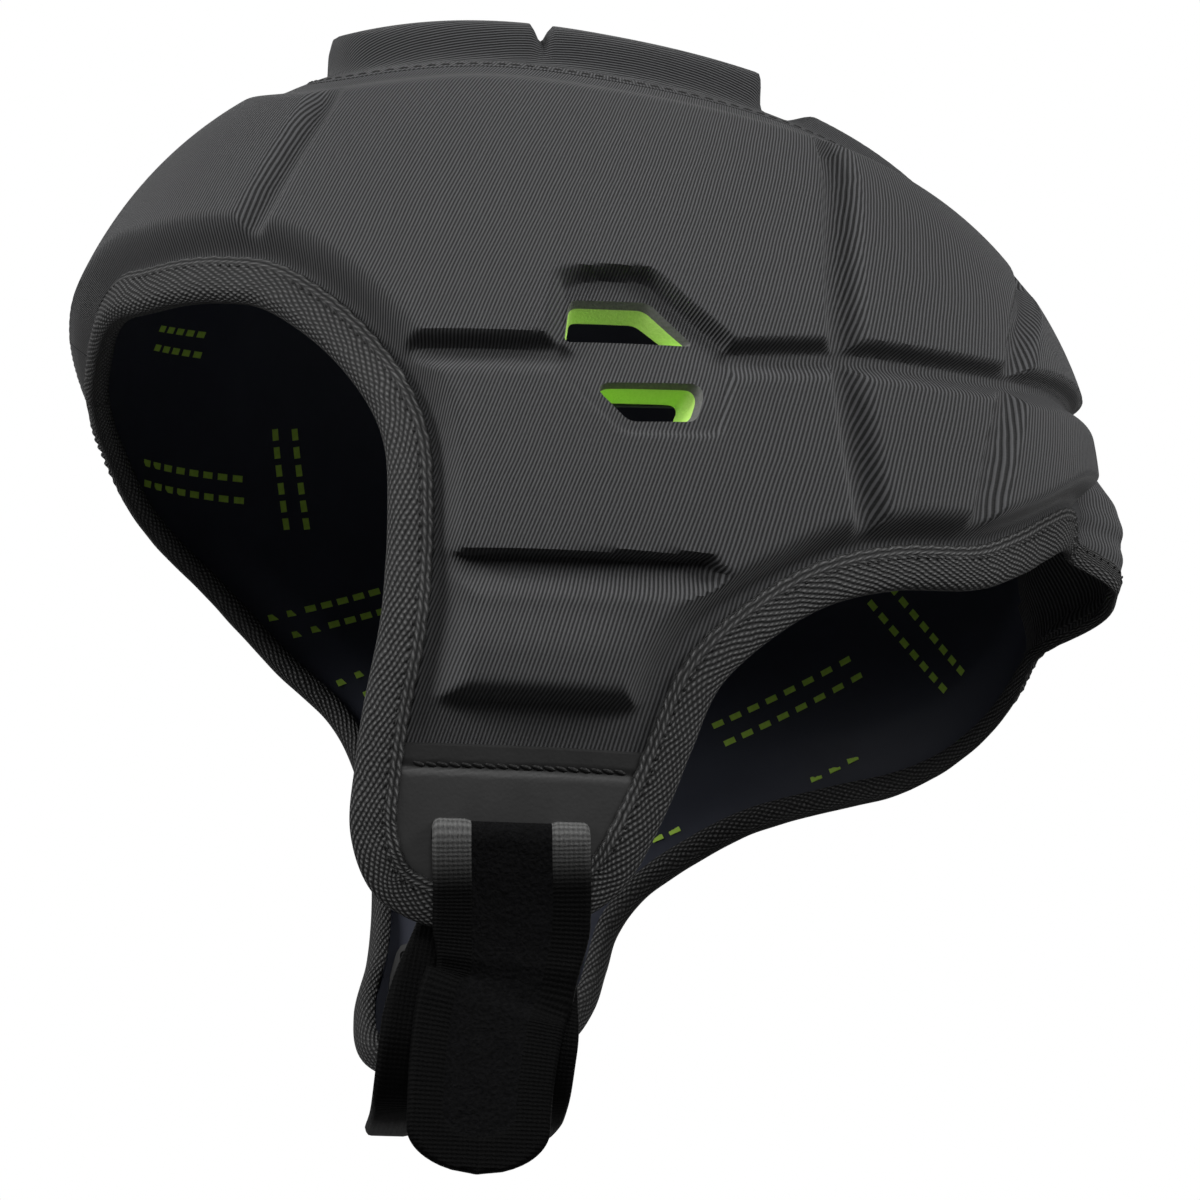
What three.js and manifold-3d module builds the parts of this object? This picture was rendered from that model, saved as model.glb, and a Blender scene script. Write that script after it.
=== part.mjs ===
// Soft shell helmet: padded panels, crown strip, back strip, lining, edge tape, cheek tabs and chin strap.
// Millimetres. Front faces -Y, the wearer's left is +X, +Z is up. The origin is the inside of the crown.
import * as THREE from 'three';
import { mergeVertices } from 'three/addons/utils/BufferGeometryUtils.js';
import Module from 'manifold-3d';

const solids = await Module();
solids.setup();
const { Manifold, Mesh: SolidMesh } = solids;

// Outer size of the padded shell, measured from the middle of the ear line
const HALF_WIDTH = 91.3;
const FRONT_LENGTH = 103.5;
const BACK_LENGTH = 123.8;
const DOME_HEIGHT = 97.4;
const PLAN_POWER = 2.31;
const DOME_POWER = 2.21;
const TAPER = 0.49;
const TAPER_DROP = 140;
const PITCH = THREE.MathUtils.degToRad(-8.6);

// Layers, as depth below the outer pad surface
const FLANGE = 6;
const FOAM_INNER = 8.8;
const LINING_OUTER = 9.2;
const LINING_INNER = 10.2;
const TAPE_OUTER = [4.2, 5.5];
const TAPE_INNER = [11.9, 12.9];
const FACING = [4.3, 5.4];
const BACKING = [11.4, 12.3];
const BACK_STRIP = 5.0;
const BACK_FLARE = 9;

// Edge tape and the shapes beside it
const TAPE_WIDTH = 8.8;
const TAPE_INNER_WIDTH = 4.8;
const TAPE_WEB = 1.6;
const RIM_FLAT = 10.5;
const RIM_BEVEL = 17;
const SEAM_DEPTH = 2.4;
const SEAM_FLAT = 7;
const SEAM_BEVEL = 19;
const GAP = 0.4;

// Grooves and the recess round the vents
const GROOVE_DEPTH = 4.2;
const GROOVE_FLAT = 0.8;
const GROOVE_REACH = 4.6;
const RECESS_DEPTH = 4.0;
const RECESS_WALL = 3.2;
const RECESS_FROM_X = 60;

// Crown strip
const CROWN_LIFT = 4.6;
const CROWN_REAR_LIFT = 3.4;
const CROWN_WALL = [1.5, 7];
const CROWN_GROOVE = 6.5;
const BACK_STRIP_HALF = 15;
const BACK_STRIP_FROM_Y = 40;

// Cheek tabs and strap
const TAB_PAD_BOTTOM = -72;
const TAB_PAD_BEVEL = 7;
const SLOT = { y: -4.6, z: -93.9, length: 30.6, height: 6.4 };
const STRAP_WIDTH = 29.6;
const STRAP_CHIN_WIDTH = 35.5;
const STRAP_THICKNESS = 2.6;

// Rim from the middle of the brow to the middle of the back: x, y, z
const RIM_LEFT = [
  [0, -92, 22], [20, -88, 22], [38.5, -81, 20.5], [50, -75, 17.5], [59, -67.5, 15.5],
  [64.5, -61, 13.5], [69.5, -53.5, 10.5], [73.5, -46, 4.5], [76.5, -38.5, -3.5], [78, -32, -13],
  [78.5, -29, -21], [77.5, -28, -33], [74.5, -28.5, -52], [70.5, -31.5, -70], [67.5, -32.5, -79],
  [63.5, -33, -92], [60, -28.5, -102], [58.5, -19, -107.5], [57.5, -6, -108.5], [58, 6, -106.5],
  [60, 16, -100], [64.5, 24, -85], [67.5, 28, -74], [70, 32.5, -63], [70.5, 38.5, -56],
  [70, 47, -49], [69, 55, -44.5], [65, 67, -40], [55, 84.5, -35.5], [46.5, 94.5, -31.5],
  [30.5, 106, -25], [15, 114, -21.5], [0, 118, -20],
];
const RIM_RIGHT = [
  [0, -92, 22], [-15, -92.5, 22], [-27.5, -91, 20.5], [-38, -88, 17], [-46, -84, 13.5],
  [-56, -78, 9.5], [-66, -69, 4], [-74, -58.5, -3], [-78.5, -49, -10.5], [-81, -39, -18.5],
  [-80, -32.5, -27], [-78, -28.5, -38], [-75.5, -26.5, -48], [-72, -25.5, -62], [-68, -26.5, -77],
  [-63.5, -29, -90], [-60, -27.5, -100.5], [-58.5, -19, -106.5], [-57.5, -6, -107.5],
  [-59, 7, -105.5], [-62.5, 16.5, -99], [-66, 22.5, -90], [-69.5, 25.5, -81], [-72.5, 28.5, -71],
  [-74, 35, -61.5], [-74, 46.5, -53], [-71.5, 61, -46], [-64.5, 78.5, -39.5], [-53.5, 95, -34],
  [-38.5, 107, -29.5], [-28, 111.5, -28], [-14, 116, -24], [0, 118, -20],
];

// Groove lines on the left panel: x, y, z. The right panel has their mirror image.
const GROOVES = [
  [[57, -40, 70], [67.8, -44.9, 54.3], [71.4, -49, 44.1], [73.2, -52.6, 35.1], [73.5, -57, 24]],
  [[87, -26, -4], [88, -11, -4], [88.3, 2, -3.7]],
  [[62, 57.5, 56], [77.7, 56.6, 26.2], [81.1, 56.5, 4.8], [80.1, 58.3, -11.8], [77, 62, -30]],
  [[85, 34, -2.5], [80.2, 59.8, 1.5], [73.8, 75.3, 3.1], [62.6, 92.5, 6.4], [42, 109, 13], [16, 117, 18]],
  [[36, 102, 43], [57, 96, 18.5], [63, 92.3, 2], [65, 89, -10], [66, 85.5, -22]],
  [[84, -26, -46.5], [83.5, 6.7, -45.6], [80, 38, -44.3]],
];
// Recess round the vents and the two vents, side view: y, z
const RECESS = [
  [-3, -7], [-1, 0], [0.8, 12.7], [19.2, 14], [26, 7.5], [36, -0.5], [36, -6], [33, -19.7], [14.5, -20.8],
  [7.8, -14.9],
];
const VENTS = [
  [[2.8, -1.5], [3.8, 7.8], [19.2, 8.3], [28.2, -0.6]],
  [[9, -11.6], [10.2, -10], [28.2, -8.8], [29.2, -11], [27.6, -16.6], [15, -17.6]],
];
const VENT_CORNER = 1.6;
// Crown strip seam in plan, left half from front to back: x, y
const SEAM = [
  [0, -50], [34, -50], [48, -48], [56, -42], [60.5, -30], [62, -10], [62, 12], [60, 32], [56, 48],
  [49, 64], [42, 77], [32, 90], [16, 98], [0, 99],
];
const CROWN_GROOVES = [0, 51];
// Faux-leather outline on the tab, side view: y, z
const FACING_LEFT = [
  [-23, -78.8], [-6, -79.2], [17, -78.2], [14.4, -87], [12.2, -93], [9, -96.5], [2, -98.6],
  [-10, -99], [-19, -98], [-23, -94.5], [-23.8, -88],
];
const FACING_RIGHT = [
  [-17.2, -78.8], [-4, -79.2], [15.8, -78.4], [12.8, -88], [9.8, -93], [6, -96], [0, -97.4],
  [-10, -97.8], [-17, -95.5], [-19.3, -89],
];

// Surface of the shell: 1 on the surface at the given depth
function level(x, y, z, depth) {
  const y2 = y * Math.cos(PITCH) + z * Math.sin(PITCH);
  const z2 = -y * Math.sin(PITCH) + z * Math.cos(PITCH);
  const length = (y2 < 0 ? FRONT_LENGTH : BACK_LENGTH) - depth;
  const down = Math.min(Math.max(-z / TAPER_DROP, 0), 1.2);
  const width = (HALF_WIDTH - depth) * (1 - TAPER * down * down);
  const ring = (Math.abs(x) / width) ** PLAN_POWER + (Math.abs(y2) / length) ** PLAN_POWER;
  const rise = Math.max(z2, 0) / (DOME_HEIGHT - depth);
  return (ring ** (DOME_POWER / PLAN_POWER) + rise ** DOME_POWER) ** (1 / DOME_POWER);
}

// Point of the surface in a direction from the middle of the ear line
function onShell(direction, depth) {
  const d = direction.clone().normalize();
  let low = 15;
  let high = 240;
  for (let i = 0; i < 44; i += 1) {
    const mid = (low + high) / 2;
    if (level(d.x * mid, d.y * mid, d.z * mid, depth) < 1) low = mid;
    else high = mid;
  }
  return d.multiplyScalar((low + high) / 2);
}

// Half width of the wall at a place of the side view
function wallX(y, z, depth) {
  let low = 0;
  let high = 140;
  for (let i = 0; i < 40; i += 1) {
    const mid = (low + high) / 2;
    if (level(mid, y, z, depth) < 1) low = mid;
    else high = mid;
  }
  return low;
}

const vec = (p) => new THREE.Vector3(p[0], p[1], p[2]);
const clamp01 = (t) => Math.min(Math.max(t, 0), 1);
const fall = (d, near, far) => {
  const t = clamp01((d - near) / (far - near));
  return 1 - t * t * (3 - 2 * t);
};

function distanceToLine(p, line) {
  let best = Infinity;
  for (let i = 0; i + 1 < line.length; i += 1) {
    const a = line[i];
    const ab = line[i + 1].clone().sub(a);
    const t = clamp01(p.clone().sub(a).dot(ab) / ab.lengthSq());
    best = Math.min(best, p.distanceTo(a.clone().addScaledVector(ab, t)));
  }
  return best;
}

// Distance from a place to an outline in a plane, negative inside
function distanceToOutline(u, v, outline) {
  let best = Infinity;
  let inside = false;
  for (let i = 0, j = outline.length - 1; i < outline.length; j = i, i += 1) {
    const [u0, v0] = outline[j];
    const [u1, v1] = outline[i];
    const t = clamp01(((u - u0) * (u1 - u0) + (v - v0) * (v1 - v0)) / ((u1 - u0) ** 2 + (v1 - v0) ** 2));
    best = Math.min(best, Math.hypot(u - u0 - t * (u1 - u0), v - v0 - t * (v1 - v0)));
    if ((v0 > v) !== (v1 > v) && u < u0 + ((v - v0) / (v1 - v0)) * (u1 - u0)) inside = !inside;
  }
  return inside ? -best : best;
}

// Rim as one closed loop of places on the flange, with its outward and inward directions
function rimSamples(table, count) {
  const curve = new THREE.CatmullRomCurve3(table.map((p) => onShell(vec(p), FLANGE)), false, 'centripetal');
  curve.arcLengthDivisions = 800;
  return curve.getSpacedPoints(count).map((p) => onShell(p, FLANGE));
}
const RIM_COUNT = 47;
const rimLeft = rimSamples(RIM_LEFT, RIM_COUNT);
const rimRight = rimSamples(RIM_RIGHT, RIM_COUNT);
const rimLoop = rimLeft.concat(rimRight.slice(1, -1).reverse());

function normalAt(p) {
  const e = 0.2;
  const g = (x, y, z) => level(x, y, z, FLANGE);
  return new THREE.Vector3(
    g(p.x + e, p.y, p.z) - g(p.x - e, p.y, p.z),
    g(p.x, p.y + e, p.z) - g(p.x, p.y - e, p.z),
    g(p.x, p.y, p.z + e) - g(p.x, p.y, p.z - e),
  ).normalize();
}
const rimInward = rimLoop.map((p, i) => {
  const next = rimLoop[(i + 1) % rimLoop.length];
  const before = rimLoop[(i - 1 + rimLoop.length) % rimLoop.length];
  const along = next.clone().sub(before).normalize();
  return normalAt(p).cross(along).normalize();
});
const rimAt = (i, inward, depth) => onShell(rimLoop[i].clone().addScaledVector(rimInward[i], inward), depth);
const edgeLoop = rimLoop.map((p, i) => rimAt(i, TAPE_WEB + GAP, FLANGE));

const rimLines = {
  1: rimLeft.map((p) => onShell(p, 0)),
  '-1': rimRight.map((p) => onShell(p, 0)),
};
const grooveLines = GROOVES.map((g) => g.map((p) => onShell(vec(p), 0)));
const seamOutline = SEAM.concat(SEAM.slice(1, -1).reverse().map(([x, y]) => [-x, y]));

// Depth of the side panel's face below the pad level at a place of the outer surface
function sideRelief(p, side) {
  const q = new THREE.Vector3(Math.abs(p.x), p.y, p.z);
  let depth = FLANGE * fall(distanceToLine(p, rimLines[side]), RIM_FLAT, RIM_BEVEL);
  if (p.z > 0) {
    const seam = distanceToOutline(p.x, p.y, seamOutline) * 1.25;
    depth = Math.max(depth, SEAM_DEPTH * fall(seam, SEAM_FLAT, SEAM_BEVEL));
  }
  if (p.y > BACK_STRIP_FROM_Y) depth = Math.max(depth, FLANGE * fall(q.x - BACK_STRIP_HALF, 2, 9));
  for (const line of grooveLines) {
    depth = Math.max(depth, GROOVE_DEPTH * fall(distanceToLine(q, line), GROOVE_FLAT, GROOVE_REACH));
  }
  if (q.x > RECESS_FROM_X) {
    const wall = distanceToOutline(p.y, p.z, RECESS);
    depth = Math.max(depth, RECESS_DEPTH * fall(wall, -1, RECESS_WALL - 1));
  }
  depth = Math.max(depth, FLANGE * fall(p.z - TAB_PAD_BOTTOM, 0, TAB_PAD_BEVEL));
  return depth;
}

// Depth of the crown strip's face, negative where its pads stand above the side panels
function crownRelief(p) {
  const lift = p.y < CROWN_GROOVES[1] ? CROWN_LIFT : CROWN_REAR_LIFT;
  const full = SEAM_DEPTH + lift;
  const fromSeam = -distanceToOutline(p.x, p.y, seamOutline);
  let rise = full * (1 - fall(fromSeam, CROWN_WALL[0], CROWN_WALL[1]));
  for (const y of CROWN_GROOVES) {
    rise = Math.min(rise, full - CROWN_GROOVE * fall(Math.abs(p.y - y), GROOVE_FLAT, GROOVE_REACH));
  }
  return SEAM_DEPTH - Math.max(rise, 0);
}

function solidFrom(positions, triangles) {
  return new Manifold(new SolidMesh({
    numProp: 3, vertProperties: Float32Array.from(positions), triVerts: Uint32Array.from(triangles),
  }));
}

// Closed body whose faces point outwards, whichever way its triangles were listed
function outwardSolid(positions, triangles) {
  const body = solidFrom(positions, triangles);
  if (body.volume() > 0) return body;
  const turned = [];
  for (let i = 0; i < triangles.length; i += 3) turned.push(triangles[i + 1], triangles[i], triangles[i + 2]);
  return solidFrom(positions, turned);
}

function solidFromGeometry(geometry) {
  const bare = new THREE.BufferGeometry();
  bare.setAttribute('position', geometry.getAttribute('position'));
  if (geometry.index) bare.setIndex(geometry.index);
  const merged = mergeVertices(bare, 1e-4);
  return outwardSolid(merged.getAttribute('position').array, merged.index.array);
}

// Closed body from a grid of places, drawn to the middle of the ear line
function bodyFromGrid(columns, rows, place) {
  const positions = [];
  const triangles = [];
  const reach = [];
  for (let j = 0; j < rows; j += 1) {
    for (let i = 0; i < columns; i += 1) {
      const p = place(i, j);
      positions.push(p.x, p.y, p.z);
      reach.push(p.length());
    }
  }
  const apex = positions.length / 3;
  positions.push(0, 0, 0);
  const at = (i, j) => j * columns + i;
  for (let j = 0; j + 1 < rows; j += 1) {
    for (let i = 0; i + 1 < columns; i += 1) {
      const [a, b, c, d] = [at(i, j), at(i + 1, j), at(i + 1, j + 1), at(i, j + 1)];
      if (Math.abs(reach[a] - reach[c]) <= Math.abs(reach[b] - reach[d])) triangles.push(a, b, c, a, c, d);
      else triangles.push(a, b, d, b, c, d);
    }
  }
  for (let i = 0; i + 1 < columns; i += 1) {
    triangles.push(at(i + 1, 0), at(i, 0), apex, at(i, rows - 1), at(i + 1, rows - 1), apex);
  }
  for (let j = 0; j + 1 < rows; j += 1) {
    triangles.push(at(0, j), at(0, j + 1), apex, at(columns - 1, j + 1), at(columns - 1, j), apex);
  }
  return solidFrom(positions, triangles);
}

// Whole smooth body of the shell at one depth
function shellBody(depth, detail, flare = 0) {
  const ball = new THREE.IcosahedronGeometry(1, detail);
  const bare = new THREE.BufferGeometry();
  bare.setAttribute('position', ball.getAttribute('position'));
  const merged = mergeVertices(bare, 1e-4);
  const place = merged.getAttribute('position');
  for (let i = 0; i < place.count; i += 1) {
    const direction = new THREE.Vector3().fromBufferAttribute(place, i);
    const p = onShell(direction, depth - flare * fall(onShell(direction, 0).z, -12, 34));
    place.setXYZ(i, p.x, p.y, p.z);
  }
  return solidFrom(place.array, merged.index.array);
}

// Cone of directions through a closed loop, its inside towards the given middle direction
function coneThrough(loop, middle) {
  const positions = [];
  const triangles = [];
  const scales = [0.12, 2.6];
  for (const s of scales) for (const p of loop) positions.push(p.x * s, p.y * s, p.z * s);
  const caps = scales.map((s) => {
    const p = middle.clone().normalize().multiplyScalar(118 * s);
    positions.push(p.x, p.y, p.z);
    return positions.length / 3 - 1;
  });
  const n = loop.length;
  for (let i = 0; i < n; i += 1) {
    const k = (i + 1) % n;
    triangles.push(i, k, n + k, i, n + k, n + i);
    triangles.push(caps[0], k, i, caps[1], n + i, n + k);
  }
  return outwardSolid(positions, triangles);
}

// Openings: the rim is split at the middle of each tab's lower edge
const TAB_MIDDLE = { y: -6, z: -95 };
const offTab = (p) => Math.abs(p.y - TAB_MIDDLE.y) + Math.max(0, p.z - TAB_MIDDLE.z);
const tabFoot = (from, to) => {
  let best = from;
  for (let i = from; i <= to; i += 1) if (offTab(edgeLoop[i]) < offTab(edgeLoop[best])) best = i;
  return best;
};
const tabLeft = tabFoot(0, RIM_COUNT);
const tabRight = tabFoot(RIM_COUNT, rimLoop.length - 1);
const chin = new THREE.Vector3(0, TAB_MIDDLE.y, -118);
const faceLoop = edgeLoop.slice(tabRight).concat(edgeLoop.slice(0, tabLeft + 1), [chin]);
const neckLoop = edgeLoop.slice(tabLeft, tabRight + 1).concat([chin]);
const opening = Manifold.union(
  coneThrough(faceLoop, new THREE.Vector3(0, -0.8, -0.55)),
  coneThrough(neckLoop, new THREE.Vector3(0, 0.62, -0.78)),
);

// Prism of an outline given in plan (axis z) or in the side view (axis x)
const SIDE_VIEW = new THREE.Matrix4().set(0, 0, 1, 0, 1, 0, 0, 0, 0, 1, 0, 0, 0, 0, 0, 1);
function prism(outline, axis, from, to) {
  const shape = new THREE.Shape(outline.map(([u, v]) => new THREE.Vector2(u, v)));
  const geometry = new THREE.ExtrudeGeometry(shape, { depth: to - from, bevelEnabled: false });
  geometry.translate(0, 0, from);
  if (axis === 'x') geometry.applyMatrix4(SIDE_VIEW);
  return solidFromGeometry(geometry);
}

function rounded(outline, radius, steps) {
  const out = [];
  outline.forEach(([u, v], i) => {
    const [u0, v0] = outline[(i - 1 + outline.length) % outline.length];
    const [u1, v1] = outline[(i + 1) % outline.length];
    const a = Math.min(radius / Math.hypot(u0 - u, v0 - v), 0.45);
    const b = Math.min(radius / Math.hypot(u1 - u, v1 - v), 0.45);
    const start = [u + (u0 - u) * a, v + (v0 - v) * a];
    const end = [u + (u1 - u) * b, v + (v1 - v) * b];
    for (let k = 0; k <= steps; k += 1) {
      const t = k / steps;
      out.push([0, 1].map((c) => (1 - t) ** 2 * start[c] + 2 * t * (1 - t) * [u, v][c] + t * t * end[c]));
    }
  });
  return out;
}

function grown(outline, by) {
  return outline.map(([u, v]) => {
    const length = Math.hypot(u, v - 20);
    return [u + (u / length) * by, v + ((v - 20) / length) * by];
  });
}

function box(x0, x1, y0, y1, z0, z1) {
  const geometry = new THREE.BoxGeometry(x1 - x0, y1 - y0, z1 - z0);
  geometry.translate((x0 + x1) / 2, (y0 + y1) / 2, (z0 + z1) / 2);
  return solidFromGeometry(geometry);
}
const FAR = 200;
const leftHalf = box(GAP / 2, FAR, -FAR, FAR, -FAR, FAR);
const rightHalf = box(-FAR, -GAP / 2, -FAR, FAR, -FAR, FAR);
const seamPrism = prism(seamOutline, 'z', 5, FAR);
const seamPrismWide = prism(grown(seamOutline, GAP), 'z', 5, FAR);
const slab = (half) => box(-half, half, BACK_STRIP_FROM_Y, FAR, -FAR, FAR);
const backSlab = slab(BACK_STRIP_HALF);
const backSlabWide = slab(BACK_STRIP_HALF + GAP);
const vents = Manifold.union(VENTS.map((v) => prism(rounded(v, VENT_CORNER, 2), 'x', -FAR, FAR)));
const slot = box(
  40, 110,
  SLOT.y - SLOT.length / 2, SLOT.y + SLOT.length / 2,
  SLOT.z - SLOT.height / 2, SLOT.z + SLOT.height / 2,
);

const INNER_DETAIL = 4;
const foamInside = shellBody(FOAM_INNER, INNER_DETAIL);
const liningOutside = shellBody(LINING_OUTER, INNER_DETAIL);
const liningInside = shellBody(LINING_INNER, INNER_DETAIL);

// Side panel grid: angles about the ear axis, drawn closer where grooves run. Columns: low, high
const COLUMNS = [
  [-99, -99], [-88, -86], [-77, -73], [-67, -60], [-58, -46], [-51.7, -33.2], [-48.8, -30],
  [-47.8, -28.8], [-44.8, -25], [-35, -17], [-22, -10], [-10, -5], [-3.4, -2.2], [-1.4, -0.4],
  [0.8, 1.6], [5, 5.4], [8.6, 8.6], [12.2, 12.2], [15, 15], [18, 18], [20.6, 20.6], [23, 23],
  [25.4, 25.4], [33.8, 33.8], [36.8, 36.8], [37.8, 37.8], [40.8, 40.8], [45, 58], [48.3, 70.6],
  [49.3, 71.8], [52.2, 75], [60, 81], [71, 88], [84, 96], [99, 103],
];
const ROWS = [
  -68, -57, -50, -44.5, -40, -35, -31.3, -28.9, -27.9, -25, -19, -15, -12.8, -10.6, -7, -3, -0.6, 0.6, 3, 5.4,
  7.8, 10, 13, 20, 28, 36, 42, 46, 50, 55, 62, 74, 92,
];
function groovePitch(a) {
  if (a < 0) return -2.4;
  if (a < 37) return -2.4 + (3.3 * a) / 37;
  return 0.9 + 7.3 * Math.min((a - 37) / 32, 1.1);
}
function sideDirection(i, j, side) {
  const t = Math.min(Math.max((ROWS[j] + 20) / 60, -0.3), 1.2);
  const a = COLUMNS[i][0] + (COLUMNS[i][1] - COLUMNS[i][0]) * t;
  const b = ROWS[j] + groovePitch(a) * Math.max(0, 1 - Math.abs(ROWS[j]) / 30);
  const turn = Math.hypot(a, b) || 1e-6;
  const r = THREE.MathUtils.degToRad(turn);
  return new THREE.Vector3(side * Math.cos(r), (Math.sin(r) * a) / turn, (Math.sin(r) * b) / turn);
}
function sideBody(side) {
  return bodyFromGrid(COLUMNS.length, ROWS.length, (i, j) => {
    const direction = sideDirection(side > 0 ? i : COLUMNS.length - 1 - i, j, side);
    return onShell(direction, sideRelief(onShell(direction, 0), side));
  });
}

// Crown strip grid: angles from straight up
const CROWN_X = [-60, -46, -42.5, -40, -38, -35.5, -32, -22, -11, 0, 11, 22, 32, 35.5, 38, 40, 42.5, 46, 60];
const CROWN_Y = [
  -44, -35, -31, -29, -27, -24, -17, -9, -2.8, -0.5, 0.5, 2.8, 9, 18, 26, 30.5, 33, 34, 36.5, 42, 49, 55, 59,
  62, 65, 72,
];
function crownBody() {
  return bodyFromGrid(CROWN_X.length, CROWN_Y.length, (i, j) => {
    const turn = Math.hypot(CROWN_X[i], CROWN_Y[j]) || 1e-6;
    const r = THREE.MathUtils.degToRad(turn);
    const share = Math.sin(r) / turn;
    const direction = new THREE.Vector3(share * CROWN_X[i], share * CROWN_Y[j], Math.cos(r));
    return onShell(direction, crownRelief(onShell(direction, 0)));
  });
}

const largest = (body) => body.decompose().sort((a, b) => b.volume() - a.volume())[0];

// Edge tape: a channel drawn round the rim, over the flange, the edge and the lining: inward, depth
const CHANNEL = [
  [0, TAPE_OUTER[0] + 0.3], [TAPE_WIDTH, TAPE_OUTER[0]], [TAPE_WIDTH, TAPE_OUTER[1]],
  [TAPE_WEB, TAPE_OUTER[1]], [TAPE_WEB, TAPE_INNER[0]], [TAPE_INNER_WIDTH, TAPE_INNER[0]],
  [TAPE_INNER_WIDTH, TAPE_INNER[1]],
  [0, TAPE_INNER[1] - 0.3],
];
// Room kept free of foam under the tape
const ROOM_WIDTH = TAPE_WIDTH + GAP;
const ROOM_DEPTH = TAPE_OUTER[1] + GAP;
const TAPE_ROOM = [[-2, -9], [ROOM_WIDTH, -9], [ROOM_WIDTH, ROOM_DEPTH], [-2, ROOM_DEPTH]];
function alongRim(section) {
  const positions = [];
  const triangles = [];
  const n = rimLoop.length;
  const m = section.length;
  for (let i = 0; i < n; i += 1) {
    for (const [inward, depth] of section) positions.push(...rimAt(i, inward, depth).toArray());
  }
  for (let i = 0; i < n; i += 1) {
    const k = (i + 1) % n;
    for (let j = 0; j < m; j += 1) {
      const l = (j + 1) % m;
      triangles.push(i * m + j, k * m + j, k * m + l, i * m + j, k * m + l, i * m + l);
    }
  }
  return outwardSolid(positions, triangles);
}
const edgeTape = largest(alongRim(CHANNEL).subtract(slot));
const tapeRoom = alongRim(TAPE_ROOM);

const trimmedSide = (side, half) => sideBody(side).intersect(half).subtract(foamInside).subtract(opening)
  .subtract(seamPrismWide).subtract(backSlabWide).subtract(vents).subtract(tapeRoom);
const leftPanel = largest(trimmedSide(1, leftHalf).subtract(slot));
const rightPanel = largest(trimmedSide(-1, rightHalf));
const crownPanel = largest(crownBody().intersect(seamPrism).subtract(foamInside));
const backPanel = largest(shellBody(BACK_STRIP, 12, BACK_FLARE).intersect(backSlab).subtract(foamInside)
  .subtract(opening).subtract(seamPrismWide).subtract(tapeRoom));
const lining = largest(liningOutside.subtract(liningInside).subtract(opening).subtract(vents).subtract(slot));

// Faux-leather pieces of the tabs
function tabPlate(outline, side, layer) {
  const loop = rounded(outline, 3.5, 1).map(([y, z]) => new THREE.Vector3(side * wallX(y, z, FLANGE), y, z));
  const middle = new THREE.Vector3(side * wallX(-4, -88, FLANGE), -4, -88);
  const cone = coneThrough(loop, middle);
  return largest(shellBody(layer[0], 7).subtract(shellBody(layer[1], 7)).intersect(cone));
}
const facingLeft = tabPlate(FACING_LEFT, 1, FACING).subtract(slot);
const facingRight = tabPlate(FACING_RIGHT, -1, FACING);
const backingLeft = tabPlate(FACING_LEFT, 1, BACKING).subtract(slot);
const backingRight = tabPlate(FACING_RIGHT, -1, BACKING);

// Chin strap path, from the sewn end in the right tab to the free tip outside the left tab: x, y, z
const STRAP_INSIDE = 16.4;
const STRAP_OUTSIDE = 1.6;
const inside = (side, y, z, out = 0) => [side * (wallX(y, z, STRAP_INSIDE) + out), y, z];
const outside = (y, z, out = 0) => [wallX(y, z, STRAP_OUTSIDE) + out, y, z];
const STRAP_PATH = [
  inside(-1, -6, -80), inside(-1, -6, -90), inside(-1, -6, -100), [-52, -6.4, -109], [-45, -7.2, -116.5],
  [-30, -8.5, -125], [-5, -10, -133], [20, -10.8, -138], [38, -11, -140], [49, -10.8, -138.5],
  [54.2, -10.2, -132], [55.4, -9, -123], [55, -7.4, -114], inside(1, -5.6, -106), inside(1, -4.9, -99),
  inside(1, -4.5, -95, 0.8), inside(1, -4.5, -93.2, 3), outside(-4.5, -93.2, -2.4),
  outside(-4.6, -94.6, -0.3), outside(-4.8, -98.5), outside(-5.6, -107), [61, -7.2, -115], [59, -9, -125],
  [58, -10.2, -138], [56.5, -10.6, -156],
].map(vec);
const STRAP_SECTIONS = 30;
const FREE_END = 70;
const TURN_PLACES = [-9, -6.5, -5, -3.5, -2, 0, 2, 3.5, 5, 6.5, 9];
const TIP_PLACES = [0.6, 1.6, 3, 5, 8, 12];
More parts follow.
